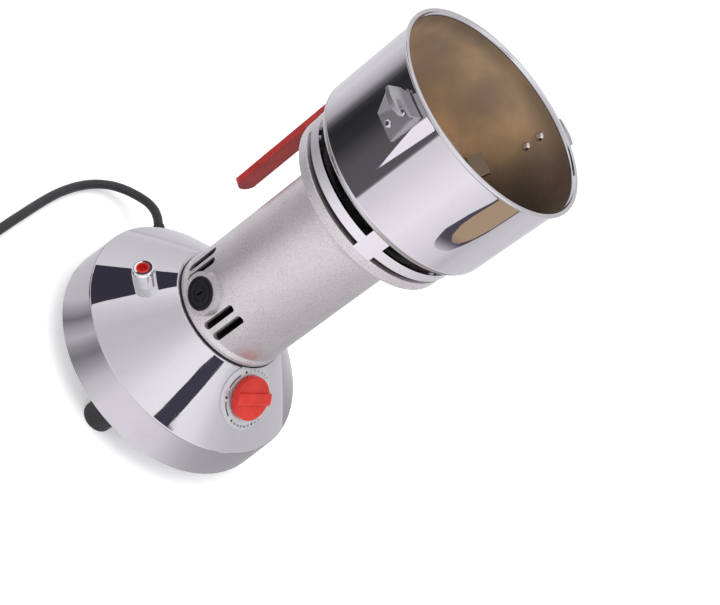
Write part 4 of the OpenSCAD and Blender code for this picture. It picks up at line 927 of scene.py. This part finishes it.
# %% Tones round the machine
TOP_TONE = 1.4
ROOM = [(-180, 0.95), (-150, 1.15), (-138, 0.95), (-122, 0.8), (-100, 0.83), (-75, 0.95), (-50, 1.2),
        (-30, 1.28), (0, 1.24), (14, 1.15), (28, 0.9), (45, 0.8), (150, 0.8), (180, 0.95)]
SKIRT = [(-180, 0.7), (-145, 0.74), (-124, 0.75), (-117, 0.5), (-111, 0.26), (-106, 0.5), (-100, 0.68),
         (-95, 0.42), (-89, 0.28), (-82, 0.5), (-75, 0.78), (-62, 1.03), (-42, 1.07), (-28, 1.02),
         (-12, 0.72), (0, 0.57), (40, 0.45), (90, 0.5), (150, 0.6), (180, 0.7)]
HOUSING = [(-180, 0.8), (-160, 0.54), (-140, 0.3), (-120, 0.38), (-100, 0.7), (-80, 1.05), (-60, 1.0),
           (-40, 0.8), (-20, 0.62), (0, 0.5), (20, 0.44), (60, 0.42), (80, 0.46), (100, 0.7), (150, 0.8),
           (180, 0.8)]
RING = [(-180, 0.7), (-150, 0.55), (-120, 0.7), (-100, 0.95), (-80, 1.25), (-50, 1.38), (-20, 1.3),
        (20, 1.1), (60, 0.85), (100, 0.8), (180, 0.7)]
BOWL = [(-180, 0.9), (-170, 0.78), (-161, 0.6), (-153, 0.2), (-147, 0.06), (-140, 0.035), (-122, 0.045),
        (-112, 0.085), (-100, 0.135), (-73.5, 0.15), (-71.8, 0.98), (-60, 1.03), (-40, 1.2), (-25, 1.28),
        (0, 1.1), (20, 0.95), (34, 0.76), (44, 0.84), (60, 0.88), (80, 0.8), (140, 0.84), (180, 0.93)]
ZONES = ((0.165, 0.175, HOUSING), (0.415, 0.43, RING), (0.531, 0.538, BOWL), (0.95, 1.3, ROOM))


def by_turn(finish, x, y, tones):
    """A grey that changes round the compass: tones are pairs of a turn in degrees and a brightness."""
    turn = finish.math("ARCTAN2", x, -1 * y) * (0.5 / math.pi) + 0.5
    stops = [(0.5 + at / 360, (level / TOP_TONE,) * 3) for at, level in tones]
    return finish.node("ShaderNodeValToRGB", {"stops": stops}, {0: turn})


def toned_ring():
    """Each set of tones gives way to the next at the radius where another piece's mirror begins."""
    finish = Finish("toned_ring", (0, 0, 0), 0.0, 1.0, Specular_IOR_Level=0.0, Emission_Strength=TOP_TONE)
    place = finish.place()
    x, y, _ = finish.axes(place)
    radius, _ = finish.around(place)
    tone = by_turn(finish, x, y, SKIRT)
    for start, end, tones in ZONES:
        tone = finish.mix(finish.step(radius, start, end), tone, by_turn(finish, x, y, tones))
    return finish.set(Emission_Color=finish.vector("MULTIPLY", tone, (1.0, 0.97, 1.02))).material


# %% Toned ring over the floor
RING_START = 0.104
RING_SIDES = 96
turns = np.arange(RING_SIDES) * 2 * math.pi / RING_SIDES
circle = np.stack([np.cos(turns), np.sin(turns), 0 * turns], -1)
ring = (np.array([RING_START, ROOM_R])[:, None, None] * circle).reshape(-1, 3) + (0, 0, 2 * MM)
cards = [stage_sheet("toned_ring", ring, toned_ring(), grid_faces(2, RING_SIDES, True)[:, ::-1])]

# %% Cards on the floor
WHITE = glow("white_card", (1.3, 1.25, 1.34))
DARK = glow("dark_card", (0.11, 0.10, 0.13), (1.05, 1.0, 1.08), 0.575, 0.63)
TAN = glow("tan_card", (0.60, 0.43, 0.28), (0.16, 0.14, 0.15), 0.585, 0.65)
ON_FLOOR = {
    "white_card": (3, WHITE, [(-620, -81), (-736, 36), (-820, 75), (-860, -35), (-805, -164),
                              (-767, -156)]),
    "dark_card": (3, DARK, [(215, -895), (105, -752), (48, -706), (11, -644), (53, -606), (111, -584),
                          (177, -567), (257, -543), (338, -540), (404, -548), (505, -615), (581, -707)]),
    "tan_card": (4, TAN, [(233, -891), (136, -744), (101, -700), (94, -663), (128, -625), (192, -592),
                          (262, -567), (340, -555), (400, -565), (489, -627), (570, -727)])}
for name, (lift, light, corners) in ON_FLOOR.items():
    cards.append(stage_sheet(name, [(x * MM, y * MM, lift * MM) for x, y in corners], light))

# %% Cards in the air
IN_THE_AIR = {
    "side_card": ((0.055, 0.05, 0.075), [
        (-170.5, 15.5), (-172.5, 24.1), (-173.2, 28), (-166, 33), (-153.7, 34.9), (-140.4, 35.9),
        (-134, 36.5), (-138, 22)]),
    "strip_card": ((0.075, 0.07, 0.1), [
        (-6, 51.2), (-11.9, 51.5), (-18, 51.7), (-20.2, 51), (-24.2, 49.6), (-36, 45), (-22, 42),
        (-3.1, 44.6), (-9, 46.4), (-3.4, 46.7), (1.4, 46.5), (6.9, 46), (14, 45)])}
for name, (colour, corners) in IN_THE_AIR.items():
    cards.append(stage_sheet(name, [in_the_air(*corner) for corner in corners], glow(name, colour)))
for card in cards:
    only_reflected(card)
print("cards:", [card.name for card in cards])

# %% [markdown]
# ## Studio light
# Soft light comes from all round, a little stronger from one side and much stronger from above, as under a
# large ceiling softbox. One world shader does all of it, with no edges. What lights the surfaces is that
# soft dome. What the steel mirrors of it is the same set of tones that the toned ring has far out, so the
# horizon doesn't show on the cone.

# %% World
SIDE_LIGHT = 0.72
KEY_LIGHT = 0.45
CEILING_LIGHT = 1.25
CEILING_SEEN = 1.2
KEY = in_the_air(-35, 40, 1.0)
world = bpy.data.worlds.new("studio")
bpy.context.scene.world = world
world.use_nodes = True
studio = Finish("studio", (1, 1, 1))
studio.tree = world.node_tree
way_out = studio.node("ShaderNodeTexCoord", {}, {}, "Generated")
toward_key = studio.vector("DOT_PRODUCT", way_out, KEY, output="Value")
east, north, above = studio.axes(way_out)


def higher(low, high):
    """A smooth step from 0 to 1 between two rises above the floor, in degrees."""
    return studio.step(above, math.sin(math.radians(low)), math.sin(math.radians(high)))


dome = SIDE_LIGHT + KEY_LIGHT * studio.step(toward_key, 0.55, 1.0) + CEILING_LIGHT * higher(52, 64)
mirrored = TOP_TONE * by_turn(studio, east, north, ROOM)
overhead = higher(54, 66)
seen = mirrored * (1 - overhead) + CEILING_SEEN * overhead
glossy = studio.node("ShaderNodeLightPath", {}, {}, "Is Glossy Ray")
background = world.node_tree.nodes["Background"]
studio.fill(background.inputs["Strength"], dome * (1 - glossy) + seen * glossy)
background.inputs["Color"].default_value = (0.985, 0.98, 1.0, 1)
bpy.data.materials.remove(studio.material)
bpy.context.scene.view_settings.view_transform = "Standard"
